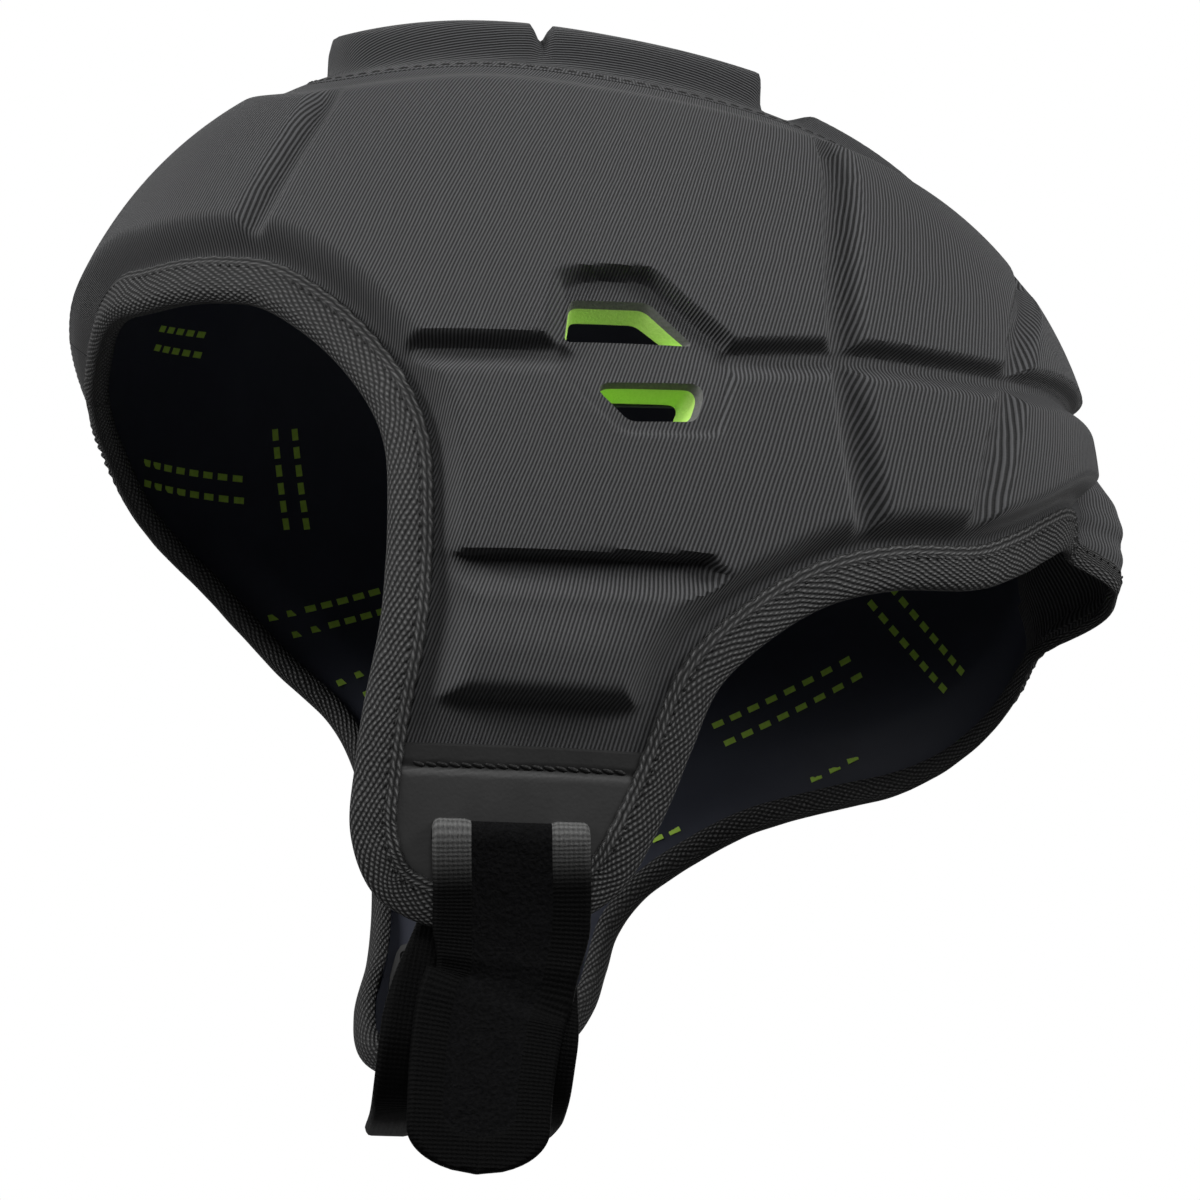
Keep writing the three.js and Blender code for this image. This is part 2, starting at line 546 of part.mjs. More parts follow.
function strapSolid() {
  const curve = new THREE.CatmullRomCurve3(STRAP_PATH, false, 'centripetal');
  curve.arcLengthDivisions = 1200;
  const length = curve.getLength();
  const slotAt = length - FREE_END;
  const places = [];
  for (let i = 0; i <= STRAP_SECTIONS; i += 1) places.push((i / STRAP_SECTIONS) * length);
  for (const s of TURN_PLACES) places.push(slotAt + s);
  for (const s of TIP_PLACES) places.push(length - s);
  places.sort((a, b) => a - b);
  const kept = places.filter((s, i) => i === 0 || s - places[i - 1] > 0.5);
  const positions = [];
  const triangles = [];
  const half = STRAP_THICKNESS / 2;
  for (const s of kept) {
    const u = Math.min(s / length, 1);
    const p = curve.getPointAt(u);
    const along = curve.getTangentAt(u);
    const across = new THREE.Vector3(0, 1, 0).addScaledVector(along, -along.y).normalize();
    const out = across.clone().cross(along).normalize();
    const chinShare = s < slotAt - 12 ? fall(p.z, -136, -112) : 0;
    let w = (STRAP_WIDTH + (STRAP_CHIN_WIDTH - STRAP_WIDTH) * chinShare) / 2;
    const tip = length - s;
    if (tip < w) w = Math.max(Math.sqrt(Math.max(w * w - (w - tip) ** 2, 0)), 2.2);
    for (const [a, b] of [[-w, -half], [w, -half], [w, half], [-w, half]]) {
      positions.push(...p.clone().addScaledVector(across, a).addScaledVector(out, b).toArray());
    }
  }
  const n = kept.length;
  for (let i = 0; i + 1 < n; i += 1) {
    for (let j = 0; j < 4; j += 1) {
      const l = (j + 1) % 4;
      triangles.push(i * 4 + j, i * 4 + l, (i + 1) * 4 + l, i * 4 + j, (i + 1) * 4 + l, (i + 1) * 4 + j);
    }
  }
  triangles.push(0, 2, 1, 0, 3, 2);
  const e = (n - 1) * 4;
  triangles.push(e, e + 1, e + 2, e, e + 2, e + 3);
  return outwardSolid(positions, triangles);
}
const strap = strapSolid();

// The seat of the head: the highest inner place of the crown
const SEAT_Y = 12;
const SEAT_Z = (() => {
  let low = 20;
  let high = 140;
  for (let i = 0; i < 40; i += 1) {
    const mid = (low + high) / 2;
    if (level(0, SEAT_Y, mid, LINING_INNER) < 1) low = mid;
    else high = mid;
  }
  return low;
})();

function cloth(color, roughness) {
  return new THREE.MeshStandardMaterial({ color, roughness, metalness: 0 });
}
const group = new THREE.Group();
function add(name, body, material) {
  const mesh = body.getMesh();
  const geometry = new THREE.BufferGeometry();
  const positions = [];
  for (let i = 0; i < mesh.numVert; i += 1) {
    const first = i * mesh.numProp;
    positions.push(...mesh.vertProperties.slice(first, first + 3));
  }
  geometry.setAttribute('position', new THREE.Float32BufferAttribute(positions, 3));
  geometry.setIndex(Array.from(mesh.triVerts));
  geometry.translate(0, -SEAT_Y, -SEAT_Z);
  geometry.computeVertexNormals();
  const item = new THREE.Mesh(geometry, material);
  item.name = name;
  group.add(item);
}
const knit = cloth(0x2b2b2d, 0.9);
const leather = cloth(0x303032, 0.6);
add('side_panel_left', leftPanel, knit);
add('side_panel_right', rightPanel, knit);
add('crown_panel', crownPanel, knit);
add('back_panel', backPanel, knit);
add('lining', lining, cloth(0x15181f, 0.85));
add('edge_binding', edgeTape, cloth(0x3a3a3c, 0.9));
add('tab_facing_left', facingLeft, leather);
add('tab_facing_right', facingRight, leather);
add('tab_backing_left', backingLeft, leather);
add('tab_backing_right', backingRight, leather);
add('chin_strap', strap, cloth(0x222224, 0.95));

export default group;
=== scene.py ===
"""Soft shell helmet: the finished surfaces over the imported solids.

Every layer of the helmet is the same head-shaped surface at its own depth, so the pieces here repeat that
surface on fine grids, in millimetres measured from the middle of the ear line, and are moved to the part's
frame at the end.
"""
import math

import bmesh
import bpy
import numpy as np
from mathutils import Matrix


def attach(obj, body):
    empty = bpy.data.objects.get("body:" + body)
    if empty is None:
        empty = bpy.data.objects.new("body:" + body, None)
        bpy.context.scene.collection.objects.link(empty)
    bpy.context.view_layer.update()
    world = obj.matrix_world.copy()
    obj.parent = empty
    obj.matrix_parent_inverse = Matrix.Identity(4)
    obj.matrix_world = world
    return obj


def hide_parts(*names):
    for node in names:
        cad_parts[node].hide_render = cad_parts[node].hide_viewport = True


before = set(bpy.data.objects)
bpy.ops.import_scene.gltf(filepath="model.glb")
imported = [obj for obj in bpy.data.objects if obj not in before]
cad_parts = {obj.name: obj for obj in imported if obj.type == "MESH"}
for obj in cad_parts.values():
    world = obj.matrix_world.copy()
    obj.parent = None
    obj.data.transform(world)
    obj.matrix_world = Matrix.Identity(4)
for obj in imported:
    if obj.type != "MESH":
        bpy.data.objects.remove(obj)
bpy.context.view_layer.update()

# Shell size, as in the solids
HALF_WIDTH = 91.3
FRONT_LENGTH = 103.5
BACK_LENGTH = 123.8
DOME_HEIGHT = 97.4
PLAN_POWER = 2.31
DOME_POWER = 2.21
TAPER = 0.49
TAPER_DROP = 140.0
PITCH = math.radians(-8.6)
SEAT_Y = 12.0
MM_PER_DEGREE = math.radians(1) * HALF_WIDTH

# Layers, as depth below the pad level
FLANGE = 6.0
FOAM_INNER = 8.8
LINING = (9.2, 10.2)
FACING = (4.8, 6.0)
BACKING = (11.2, 12.4)
BACK_STRIP = 5.0
BACK_FLARE = 16.5
RIM_FLARE = 12.0
STRIP_SCALE = 2.0
UNLINED = {"margin": 4.0, "top": 20.0}

# Zones where one form fades into the next, as the place where it is full and the place where it ends
BROW_SIDE = (15.0, 48.0)
BROW_FRONT = (-75.0, -50.0)
TAB_HEIGHT = (-58.0, -40.0)
BULGE_SIDE = (2.0, 17.0)
FLARE_REACH = (4.0, 30.0)
FAR = 1e3

# Edge tape and the shapes beside it
TAPE_WIDTH = 8.5
RIM_FLAT = 9.6
RIM_BEVEL = 7.4
BROW_BEVEL = 4.0
BROW_SINK = 3.0
BROW_FLAT_LESS = 0.8
BROW_INNER = 0.8
PINCH = 2.2
PINCH_REACH = (5.0, 16.0)
UNDER_TAPE = 2.6
PAD_CORNER = 4.0
BACK_CORNER = 12.0
TEMPLE_SWELL = {"place": (-62.0, -80.0, 20.0), "rise": 2.0, "reach": (6.0, 30.0)}
BACK_EDGE = {"outer": 5.2, "share": 0.51, "lining": 0.6, "side": (42.0, 60.0)}
SEAM_DEPTH = 2.4
SEAM_FLAT = 6.0
SEAM_BEVEL = 15.0
SEAM_SLOPE = 1.25
GAP = 0.25

# Grooves, recess round the vents and crown strip
GROOVE_DEPTHS = (2.8, 4.2, 3.6, 3.8, 3.0, 4.4)
GROOVE_FLAT = 0.6
GROOVE_REACH = 5.0
GROOVE_END = (3.0, 15.0)
LEDGES = (1, 3, 5)
LEDGE_ABOVE = 3.3
LEDGE_BELOW = 6.5
RECESS_DEPTH = 4.0
RECESS_WALL = 1.5
RECESS_EASE = 0.6
RECESS_FRONT = 5.0
RECESS_FRONT_Y = (-2.0, 8.0)
RECESS_FOOT = 0.36
RECESS_FOOT_Z = (-16.0, 4.0)
RECESS_FROM_X = 60.0
# Painted shade: the knit is painted darker where the rim bevel and the grooves sink, from this depth and over
# this span.
CREASE_SHADE = {"from": 1.0, "over": 4.0}
CROWN_LIFT = 4.6
CROWN_REAR_LIFT = 0.6
CROWN_WALL = (2.6, 6.8)
CROWN_FRONT_WALL = (4.2, 10.5)
CROWN_FRONT_Y = (-50.0, -34.0)
CROWN_CLEFT = {"y": 0.0, "flat": 0.1, "reach": 2.6, "share": 0.5}
CROWN_GAP = {"y": 51.0, "flat": 2.5, "reach": 7.5, "share": 1.0}
BACK_STRIP_HALF = 15.0
BACK_STRIP_FROM_Y = 40.0

# Cheek tabs and strap
TAB_PAD_BOTTOM = -76.4
TAB_PAD_BEVEL = 9.0
TAB_PAD_INSET = 1.4
TAB_SWELL = {"rise": 1.6, "y": -2.0, "z": -66.0, "length": (10.0, 24.0), "height": (3.0, 12.0)}
SLOT = {"y": -4.6, "z": -93.2, "length": 29.2, "height": 3.0}
STRAP_WIDTH = 29.6
STRAP_CHIN_WIDTH = 37.0
STRAP_THICKNESS = 2.6
STRAP_INSIDE = 16.4
STRAP_OUTSIDE = 1.6
FREE_END = 70.0
STRAP_NARROWS = 3.2
TIP_NARROWS = 1.6
CREASE = 35.0
CREASE_STEP = 0.9
TIP_ROUND = 8.5
TIP_EDGE = 6.6
TIP_PILE_ROUND = 4.5

# Rim from the middle of the brow to the middle of the back: x, y, z
RIM_LEFT = [
    (0, -92, 22), (20, -88, 22), (38.5, -81, 20.5), (50, -75, 17.5), (59, -67.5, 15.5), (64.5, -61, 13.5),
    (69.5, -53.5, 10.5), (73.5, -46, 4.5), (76.5, -38.5, -3.5), (78, -32, -13), (78.5, -29, -21),
    (77.5, -28, -33), (74.5, -28.5, -52), (70.5, -31.5, -70), (67.5, -32.5, -79), (63.5, -33, -92),
    (60, -28.5, -102), (58.5, -19, -107.5), (57.5, -6, -108.5), (58, 6, -106.5), (60, 16, -100),
    (64.5, 24, -85), (67.5, 28, -74), (70, 32.5, -63), (70.5, 38.5, -56), (70, 47, -49), (69, 55, -44.5),
    (65, 67, -40), (55, 84.5, -35), (46.5, 94.5, -28), (30.5, 106, -16), (15, 114, -12), (0, 118, -13),
]
RIM_RIGHT = [
    (0, -92, 22), (-15, -92.5, 22), (-27.5, -91, 20.5), (-38, -88, 17), (-46, -84, 13.5), (-56, -78, 9.5),
    (-66, -69, 4), (-74, -58.5, -3), (-78.5, -49, -10.5), (-81, -39, -18.5), (-80, -32.5, -27),
    (-78, -28.5, -38), (-75.5, -26.5, -48), (-72, -25.5, -62), (-68, -26.5, -77), (-63.5, -29, -90),
    (-60, -27.5, -100.5), (-58.5, -19, -106.5), (-57.5, -6, -107.5), (-59, 7, -105.5), (-62.5, 16.5, -99),
    (-66, 22.5, -90), (-69.5, 25.5, -81), (-72.5, 28.5, -71), (-74, 35, -61.5), (-74, 46.5, -53),
    (-71.5, 61, -46), (-64.5, 78.5, -43), (-53.5, 95, -42), (-38.5, 107, -36.5), (-28, 111.5, -31),
    (-14, 116, -21.5), (0, 118, -13),
]
# Groove lines on the left panel: x, y, z. The right panel has their mirror image.
GROOVES = [
    [(57, -40, 70), (67.8, -44.9, 54.3), (71.4, -49, 44.1), (73.2, -52.6, 35.1), (73.5, -57, 24)],
    [(87, -26, -4), (88, -11, -4), (88.3, 2, -3.7)],
    [
        (62, 57.5, 56), (77.7, 56.6, 26.2), (81.1, 56.5, 4.8), (80.1, 58.3, -11.8), (77, 62, -30),
        (72, 64, -43),
    ],
    [
        (85, 34, -2.5), (80.2, 59.8, 1.5), (73.8, 75.3, 3.1), (62.6, 92.5, 6.4), (42, 109, 13),
        (16, 117, 18),
    ],
    [(36, 102, 43), (57, 96, 18.5), (63, 92.3, 2), (65, 89, -10), (64, 84, -36)],
    [(84, -26, -46.5), (83.5, 6.7, -45.6), (82, 30, -44.6)],
]
# Recess round the vents and the two vents, side view: y, z
RECESS = [
    (-3, -7), (-1, 0), (0.8, 12.7), (19.2, 14), (26, 7.5), (36, -0.5), (36, -6), (33, -19.7), (14.5, -20.8),
    (7.8, -14.9),
]
VENTS = [
    [(2.8, -1.5), (3.8, 7.8), (19.2, 8.3), (28.2, -0.6)],
    [(9, -11.6), (10.2, -10), (28.2, -8.8), (29.2, -11), (27.6, -16.6), (15, -17.6)],
]
VENT_CORNER = 1.6
VENT_LIP = 1.7
VENT_DRAFT = 1.6
VENT_SHIFT = (-0.8, -1.0)
VENT_LIP_SHARE = 0.35
# Crown strip seam in plan, left half from front to back: x, y
SEAM = [
    (0, -50), (34, -50), (48, -48), (56, -42), (60.5, -30), (62, -10), (62, 12), (60, 32), (56, 48), (49, 64),
    (42, 77), (32, 90), (16, 98), (0, 99),
]
SEAM_MIDDLE_Y = 20.0
# Faux-leather outline on the tab, side view: y, z
FACING_LEFT = [
    (-23, -78.8), (-6, -79.2), (17, -78.2), (14.4, -87), (12.2, -93), (9, -96.5), (2, -98.6), (-10, -99),
    (-19, -98), (-23, -94.5), (-23.8, -88),
]
FACING_RIGHT = [
    (-17.2, -78.8), (-4, -79.2), (15.8, -78.4), (12.8, -88), (9.8, -93), (6, -96), (0, -97.4), (-10, -97.8),
    (-17, -95.5), (-19.3, -89),
]


# Surface of the shell
def level(p, depth):
    """1 on the surface at that depth, less inside it."""
    x = np.abs(p[..., 0])
    y = p[..., 1]
    z = p[..., 2]
    along = y * math.cos(PITCH) + z * math.sin(PITCH)
    rise = np.maximum(z * math.cos(PITCH) - y * math.sin(PITCH), 0) / (DOME_HEIGHT - depth)
    length = np.where(along < 0, FRONT_LENGTH, BACK_LENGTH) - depth
    down = np.clip(-z / TAPER_DROP, 0, 1.2)
    width = (HALF_WIDTH - depth) * (1 - TAPER * down**2)
    ring = (x / width) ** PLAN_POWER + (np.abs(along) / length) ** PLAN_POWER
    return (ring ** (DOME_POWER / PLAN_POWER) + rise**DOME_POWER) ** (1 / DOME_POWER)


def bisect(place, low, high, depth, shape):
    """The distance at which place(distance) meets the surface."""
    low = np.full(shape, float(low))
    high = np.full(shape, float(high))
    for _ in range(26):
        middle = (low + high) / 2
        inside = level(place(middle), depth) < 1
        low = np.where(inside, middle, low)
        high = np.where(inside, high, middle)
    return (low + high) / 2


def unit(v):
    return v / np.maximum(np.linalg.norm(v, axis=-1, keepdims=True), 1e-9)


def on_shell(direction, depth):
    """Where rays from the middle of the ear line meet the surface."""
    d = unit(np.asarray(direction, float))
    reach = bisect(lambda r: d * r[..., None], 15, 240, depth, d.shape[:-1])
    return d * reach[..., None]


def wall_x(y, z, depth):
    """Half width of the wall at places of the side view."""
    y = np.asarray(y, float)
    z = np.asarray(z, float)
    return bisect(lambda x: np.stack([x, y, z], -1), 0, 140, depth, y.shape)


def dome_z(x, y, depth):
    """Height of the dome at places in plan."""
    return bisect(lambda z: np.stack([x, y, z], -1), 5, 140, depth, x.shape)


def normal_at(p, depth):
    step = 0.2
    slope = [level(p + e, depth) - level(p - e, depth) for e in np.eye(3) * step]
    return unit(np.stack(slope, -1))


SEAT_Z = float(dome_z(np.zeros(1), np.full(1, SEAT_Y), LINING[1])[0])
SEAT = np.array([0, SEAT_Y, SEAT_Z])


def to_frame(p):
    """Millimetres from the ear line to metres in the part's frame."""
    return (np.asarray(p, float) - SEAT) / 1000


# Lines and outlines
def fall(d, near, far):
    """1 up to near, 0 from far, smooth between."""
    t = np.clip((d - near) / (far - near), 0, 1)
    return 1 - t * t * (3 - 2 * t)


def between(t, start, end, a, b):
    """From a at start to b at end."""
    return (end - t) / (end - start) * a + (t - start) / (end - start) * b


def smooth_line(points, count, closed=False):
    """Even places along a smooth curve through the points."""
    p = np.asarray(points, float)
    if closed:
        p = np.concatenate([p[-1:], p, p[:2]])
    else:
        p = np.concatenate([2 * p[:1] - p[1:2], p, 2 * p[-1:] - p[-2:-1]])
    out = []
    for a, b, c, d in zip(p[:-3], p[1:-2], p[2:-1], p[3:]):
        gaps = [max(np.linalg.norm(q - r), 1e-6) ** 0.5 for q, r in ((b, a), (c, b), (d, c))]
        k0, k1, k2, k3 = np.cumsum([0] + gaps)
        t = np.linspace(k1, k2, 24, endpoint=False)[:, None]
        ab = between(t, k0, k1, a, b)
        bc = between(t, k1, k2, b, c)
        cd = between(t, k2, k3, c, d)
        abc = between(t, k0, k2, ab, bc)
        bcd = between(t, k1, k3, bc, cd)
        out.append(between(t, k1, k2, abc, bcd))
    out.append(p[-2:-1])
    return evenly(np.concatenate(out), count, closed)


def lengths(line):
    return np.concatenate([[0], np.cumsum(np.linalg.norm(np.diff(line, axis=0), axis=1))])


def evenly(line, count, closed=False):
    """That many places at even steps along a line of points."""
    at = lengths(line)
    places = np.linspace(0, at[-1], count, endpoint=not closed)
    return np.stack([np.interp(places, at, line[:, k]) for k in range(line.shape[1])], 1)


def distance_to_line(p, line):
    best = np.full(len(p), 1e9)
    for a, b in zip(line[:-1], line[1:]):
        ab = b - a
        t = np.clip(((p - a) @ ab) / max(ab @ ab, 1e-9), 0, 1)
        best = np.minimum(best, ((p - a - t[:, None] * ab) ** 2).sum(1))
    return np.sqrt(best)


def inside_outline(p, outline):
    inside = np.zeros(len(p), bool)
    for (u0, v0), (u1, v1) in zip(np.roll(outline, 1, axis=0), outline):
        if v0 != v1:
            crosses = (v0 > p[:, 1]) != (v1 > p[:, 1])
            inside ^= crosses & (p[:, 0] < u0 + (p[:, 1] - v0) / (v1 - v0) * (u1 - u0))
    return inside


def nearest_on_outline(p, outline):
    """Distance to an outline and the nearest place on it."""
    best = np.full(len(p), 1e9)
    place = p.copy()
    for a, b in zip(np.roll(outline, 1, axis=0), outline):
        ab = b - a
        t = np.clip(((p - a) @ ab) / max(ab @ ab, 1e-9), 0, 1)
        q = a + t[:, None] * ab
        d = np.linalg.norm(p - q, axis=1)
        nearer = d < best
        best[nearer] = d[nearer]
        place[nearer] = q[nearer]
    return best, place


def outline_distance(p, outline):
    """Distance to an outline, negative inside."""
    d, _ = nearest_on_outline(p, outline)
    return np.where(inside_outline(p, outline), -d, d)


def rounded(outline, radius, steps=5):
    """The outline with its corners drawn round."""
    p = np.asarray(outline, float)
    out = []
    for before, q, after in zip(np.roll(p, 1, axis=0), p, np.roll(p, -1, axis=0)):
        start = q + (before - q) * min(radius / np.linalg.norm(before - q), 0.45)
        end = q + (after - q) * min(radius / np.linalg.norm(after - q), 0.45)
        for t in np.linspace(0, 1, steps):
            out.append((1 - t) ** 2 * start + 2 * t * (1 - t) * q + t * t * end)
    return np.array(out)


def filled_in(outline, step):
    """The outline with extra places on its long edges."""
    closed = np.concatenate([outline, outline[:1]])
    return evenly(closed, max(int(lengths(closed)[-1] / step), 8), closed=True)


def grow_from(outline, middle, by):
    return outline + unit(outline - middle) * by


def shrunk(p, outline, by):
    """Places moved in as their outline is when each side of its box comes in by that much."""
    low = outline.min(0)
    high = outline.max(0)
    return (low + high) / 2 + (p - (low + high) / 2) * (1 - 2 * by / (high - low))


# Maps: angles about the ear axis of one side, or about straight up
def side_direction(uv, side):
    turn = np.maximum(np.hypot(uv[:, 0], uv[:, 1]), 1e-6)
    share = np.sin(np.radians(turn)) / turn
    return np.stack([side * np.cos(np.radians(turn)), share * uv[:, 0], share * uv[:, 1]], 1)


def side_angles(p, side):
    d = unit(p)
    turn = np.degrees(np.arccos(np.clip(side * d[:, 0], -1, 1)))
    across = np.maximum(np.hypot(d[:, 1], d[:, 2]), 1e-9)
    return np.stack([turn * d[:, 1] / across, turn * d[:, 2] / across], 1)


def crown_direction(uv):
    d = side_direction(uv, 1)
    return np.stack([d[:, 1], d[:, 2], d[:, 0]], 1)


def crown_angles(p):
    return side_angles(np.stack([p[:, 2], p[:, 0], p[:, 1]], 1), 1)


# Rim
RIM_COUNT = 420
rim_left = on_shell(smooth_line(on_shell(RIM_LEFT, FLANGE), RIM_COUNT), FLANGE)
rim_right = on_shell(smooth_line(on_shell(RIM_RIGHT, FLANGE), RIM_COUNT), FLANGE)
rim_loop = np.concatenate([rim_left, rim_right[-2:0:-1]])
rim_along = unit(np.roll(rim_loop, -1, axis=0) - np.roll(rim_loop, 1, axis=0))
rim_inward = unit(np.cross(normal_at(rim_loop, FLANGE), rim_along))
RIM_LINES = {1: on_shell(rim_left[::3], 0), -1: on_shell(rim_right[::3], 0)}


def rim_at(inward, depth):
    """Places along the whole rim, moved in from the edge, at a depth. Both may vary along the rim."""
    inward = np.broadcast_to(inward, len(rim_loop))
    return on_shell(rim_loop + rim_inward * inward[:, None], depth)


def brow_share(p):
    """1 where the rim turns in at the brow, 0 round the rest of it."""
    return fall(p[:, 0], *BROW_SIDE) * fall(p[:, 1], *BROW_FRONT)


def inner_shift(p, from_rim):
    """How much deeper the inner layers lie where the tape draws the edge together."""
    brow = brow_share(p)
    return (BROW_INNER * brow - PINCH * (1 - brow)) * fall(from_rim, *PINCH_REACH)


def back_edge(p):
    """1 where the layers are drawn to a thin edge at the back."""
    return np.where(p[:, 1] > 0, fall(np.abs(p[:, 0]), *BACK_EDGE["side"]), 0)


def back_bulge(p):
    """Share of the outward bow of the back strip and the rim below it."""
    return np.where(p[:, 1] > 0, fall(np.abs(p[:, 0]), *BULGE_SIDE), 0)


def half_rim(side, inward):
    """The rim's left or right half from brow to back."""
    moved = rim_at(inward, FLANGE)
    if side > 0:
        return moved[:RIM_COUNT]
    return np.concatenate([moved[:1], moved[:RIM_COUNT - 2:-1]])


def smooth_seam(grow):
    half = np.array(SEAM, float)
    whole = np.concatenate([half, half[-2:0:-1] * (-1, 1)])
    line = smooth_line(whole, 240, closed=True)
    out = line - (0, SEAM_MIDDLE_Y)
    return line + out / np.linalg.norm(out, axis=1, keepdims=True) * grow


def on_dome(outline, depth):
    return np.column_stack([outline, dome_z(outline[:, 0], outline[:, 1], depth)])


def on_side(outline, side, depth):
    """An outline of the side view, laid on the wall."""
    return np.column_stack([side * wall_x(outline[:, 0], outline[:, 1], depth), outline])


seam_outline = smooth_seam(0)
GROOVE_LINES = [on_shell(smooth_line(on_shell(g, 0), 30), 0) for g in GROOVES]
recess_outline = rounded(RECESS, 2.5)
vent_outlines = [filled_in(rounded(v, VENT_CORNER), 0.6) for v in VENTS]
slot_outline = np.array([
    (SLOT["y"] + u * SLOT["length"] / 2, SLOT["z"] + v * SLOT["height"] / 2)
    for u, v in ((-1, -1), (1, -1), (1, 1), (-1, 1))
])
slot_outline = filled_in(slot_outline, 0.8)


# Relief of the padded panels
def round_corner(a, b, radius):
    """The smaller of two distances from pad edges, the corner between the edges drawn round."""
    corner = radius - np.hypot(np.maximum(radius - a, 0), np.maximum(radius - b, 0))
    return np.where((a < radius) & (b < radius), corner, np.minimum(a, b))


def deepest(*depths):
    """The larger of several depths, with the meeting line softened."""
    return sum(np.maximum(d, 0) ** 6 for d in depths) ** (1 / 6)


def side_relief(p, side):
    """Depth of the side panel's face below the pad level, and the share of painted shade that darkens its
    knit in the creases.
    """
    q = p * (side, 1, 1)
    brow = brow_share(p)
    tab = fall(p[:, 2], *TAB_HEIGHT)
    bevel = RIM_BEVEL + (BROW_BEVEL - RIM_BEVEL) * brow + (TAB_PAD_BEVEL - RIM_BEVEL) * tab
    flange = FLANGE + BROW_SINK * brow
    from_edge = distance_to_line(p, RIM_LINES[side]) - RIM_FLAT + BROW_FLAT_LESS * brow - TAB_PAD_INSET * tab
    from_back = np.where(p[:, 1] > BACK_STRIP_FROM_Y, q[:, 0] - BACK_STRIP_HALF - 2, FAR)
    from_edge = round_corner(from_edge, from_back, BACK_CORNER)
    from_edge = round_corner(from_edge, p[:, 2] - TAB_PAD_BOTTOM, PAD_CORNER)
    rim = flange * fall(from_edge, 0, bevel)
    from_seam = np.where(p[:, 2] > 0, outline_distance(p[:, :2], seam_outline) * SEAM_SLOPE, FAR)
    seam = SEAM_DEPTH * fall(from_seam, SEAM_FLAT, SEAM_BEVEL)
    grooves = []
    for i, (line, deep) in enumerate(zip(GROOVE_LINES, GROOVE_DEPTHS)):
        reach = GROOVE_REACH
        if i in LEDGES:
            line_z = np.interp(q[:, 1], line[:, 1], line[:, 2])
            reach = LEDGE_BELOW + (LEDGE_ABOVE - LEDGE_BELOW) * fall(line_z - q[:, 2], -1.0, 1.0)
        grooves.append(deep * fall(distance_to_line(q, line), GROOVE_FLAT, reach))
    groove = np.max(grooves, axis=0) * (1 - fall(from_seam, *GROOVE_END))
    recess = np.where(q[:, 0] > RECESS_FROM_X, outline_distance(p[:, 1:], recess_outline), FAR)
    front = RECESS_FRONT * fall(p[:, 1], *RECESS_FRONT_Y)
    foot = RECESS_FOOT + (1 - RECESS_FOOT) * (1 - fall(p[:, 2], *RECESS_FOOT_Z))
    recess = RECESS_DEPTH * foot * fall(recess, -RECESS_EASE - front, RECESS_WALL - RECESS_EASE)
    depth = np.minimum(deepest(rim, seam, groove, recess), flange + 0.2)
    swell = np.linalg.norm(p - np.array(TEMPLE_SWELL["place"]), axis=1)
    rise = TEMPLE_SWELL["rise"] * fall(swell, *TEMPLE_SWELL["reach"])
    on_tab = fall(np.abs(p[:, 2] - TAB_SWELL["z"]), *TAB_SWELL["height"])
    on_tab = on_tab * fall(np.abs(p[:, 1] - TAB_SWELL["y"]), *TAB_SWELL["length"])
    rise = rise + TAB_SWELL["rise"] * on_tab
    # Painted shade: a share from 0 to 1 that grows as the rim bevel and the grooves sink; the knit is painted
    # darker by it.
    crease_shade = np.clip((deepest(rim, groove) - CREASE_SHADE["from"]) / CREASE_SHADE["over"], 0, 1)
    return depth - rise * (1 - rim / flange), crease_shade


def crown_relief(p):
    """Depth of the crown strip's face, negative where its pads stand above the side panels."""
    full = SEAM_DEPTH + np.where(p[:, 1] < CROWN_GAP["y"], CROWN_LIFT, CROWN_REAR_LIFT)
    from_seam = -outline_distance(p[:, :2], seam_outline)
    front = fall(p[:, 1], *CROWN_FRONT_Y)
    foot, top = (a + (b - a) * front for a, b in zip(CROWN_WALL, CROWN_FRONT_WALL))
    share = 1 - fall(from_seam, foot, top)
    for gap in (CROWN_CLEFT, CROWN_GAP):
        share = share * (1 - gap["share"] * fall(np.abs(p[:, 1] - gap["y"]), gap["flat"], gap["reach"]))
    return SEAM_DEPTH - full * share


# Meshes
def grid_lines(low, high, step, fine=(), fine_step=None):
    """Grid values from low to high, closer together between each pair of fine limits."""
    stops = [low, *np.ravel(fine), high]
    parts = [np.array([low])]
    for i, (a, b) in enumerate(zip(stops[:-1], stops[1:])):
        count = max(int(round((b - a) / (fine_step if i % 2 else step))), 1)
        parts.append(np.linspace(a, b, count + 1)[1:])
    return np.concatenate(parts)


def connected(mask, seed):
    """The cells of a mask that are joined to the seed cell."""
    reached = np.zeros_like(mask)
    reached[seed] = True
    while True:
        grown = reached.copy()
        grown[1:] |= reached[:-1]
        grown[:-1] |= reached[1:]
        grown[:, 1:] |= reached[:, :-1]
        grown[:, :-1] |= reached[:, 1:]
        grown &= mask
        if (grown == reached).all():
            return reached
        reached = grown


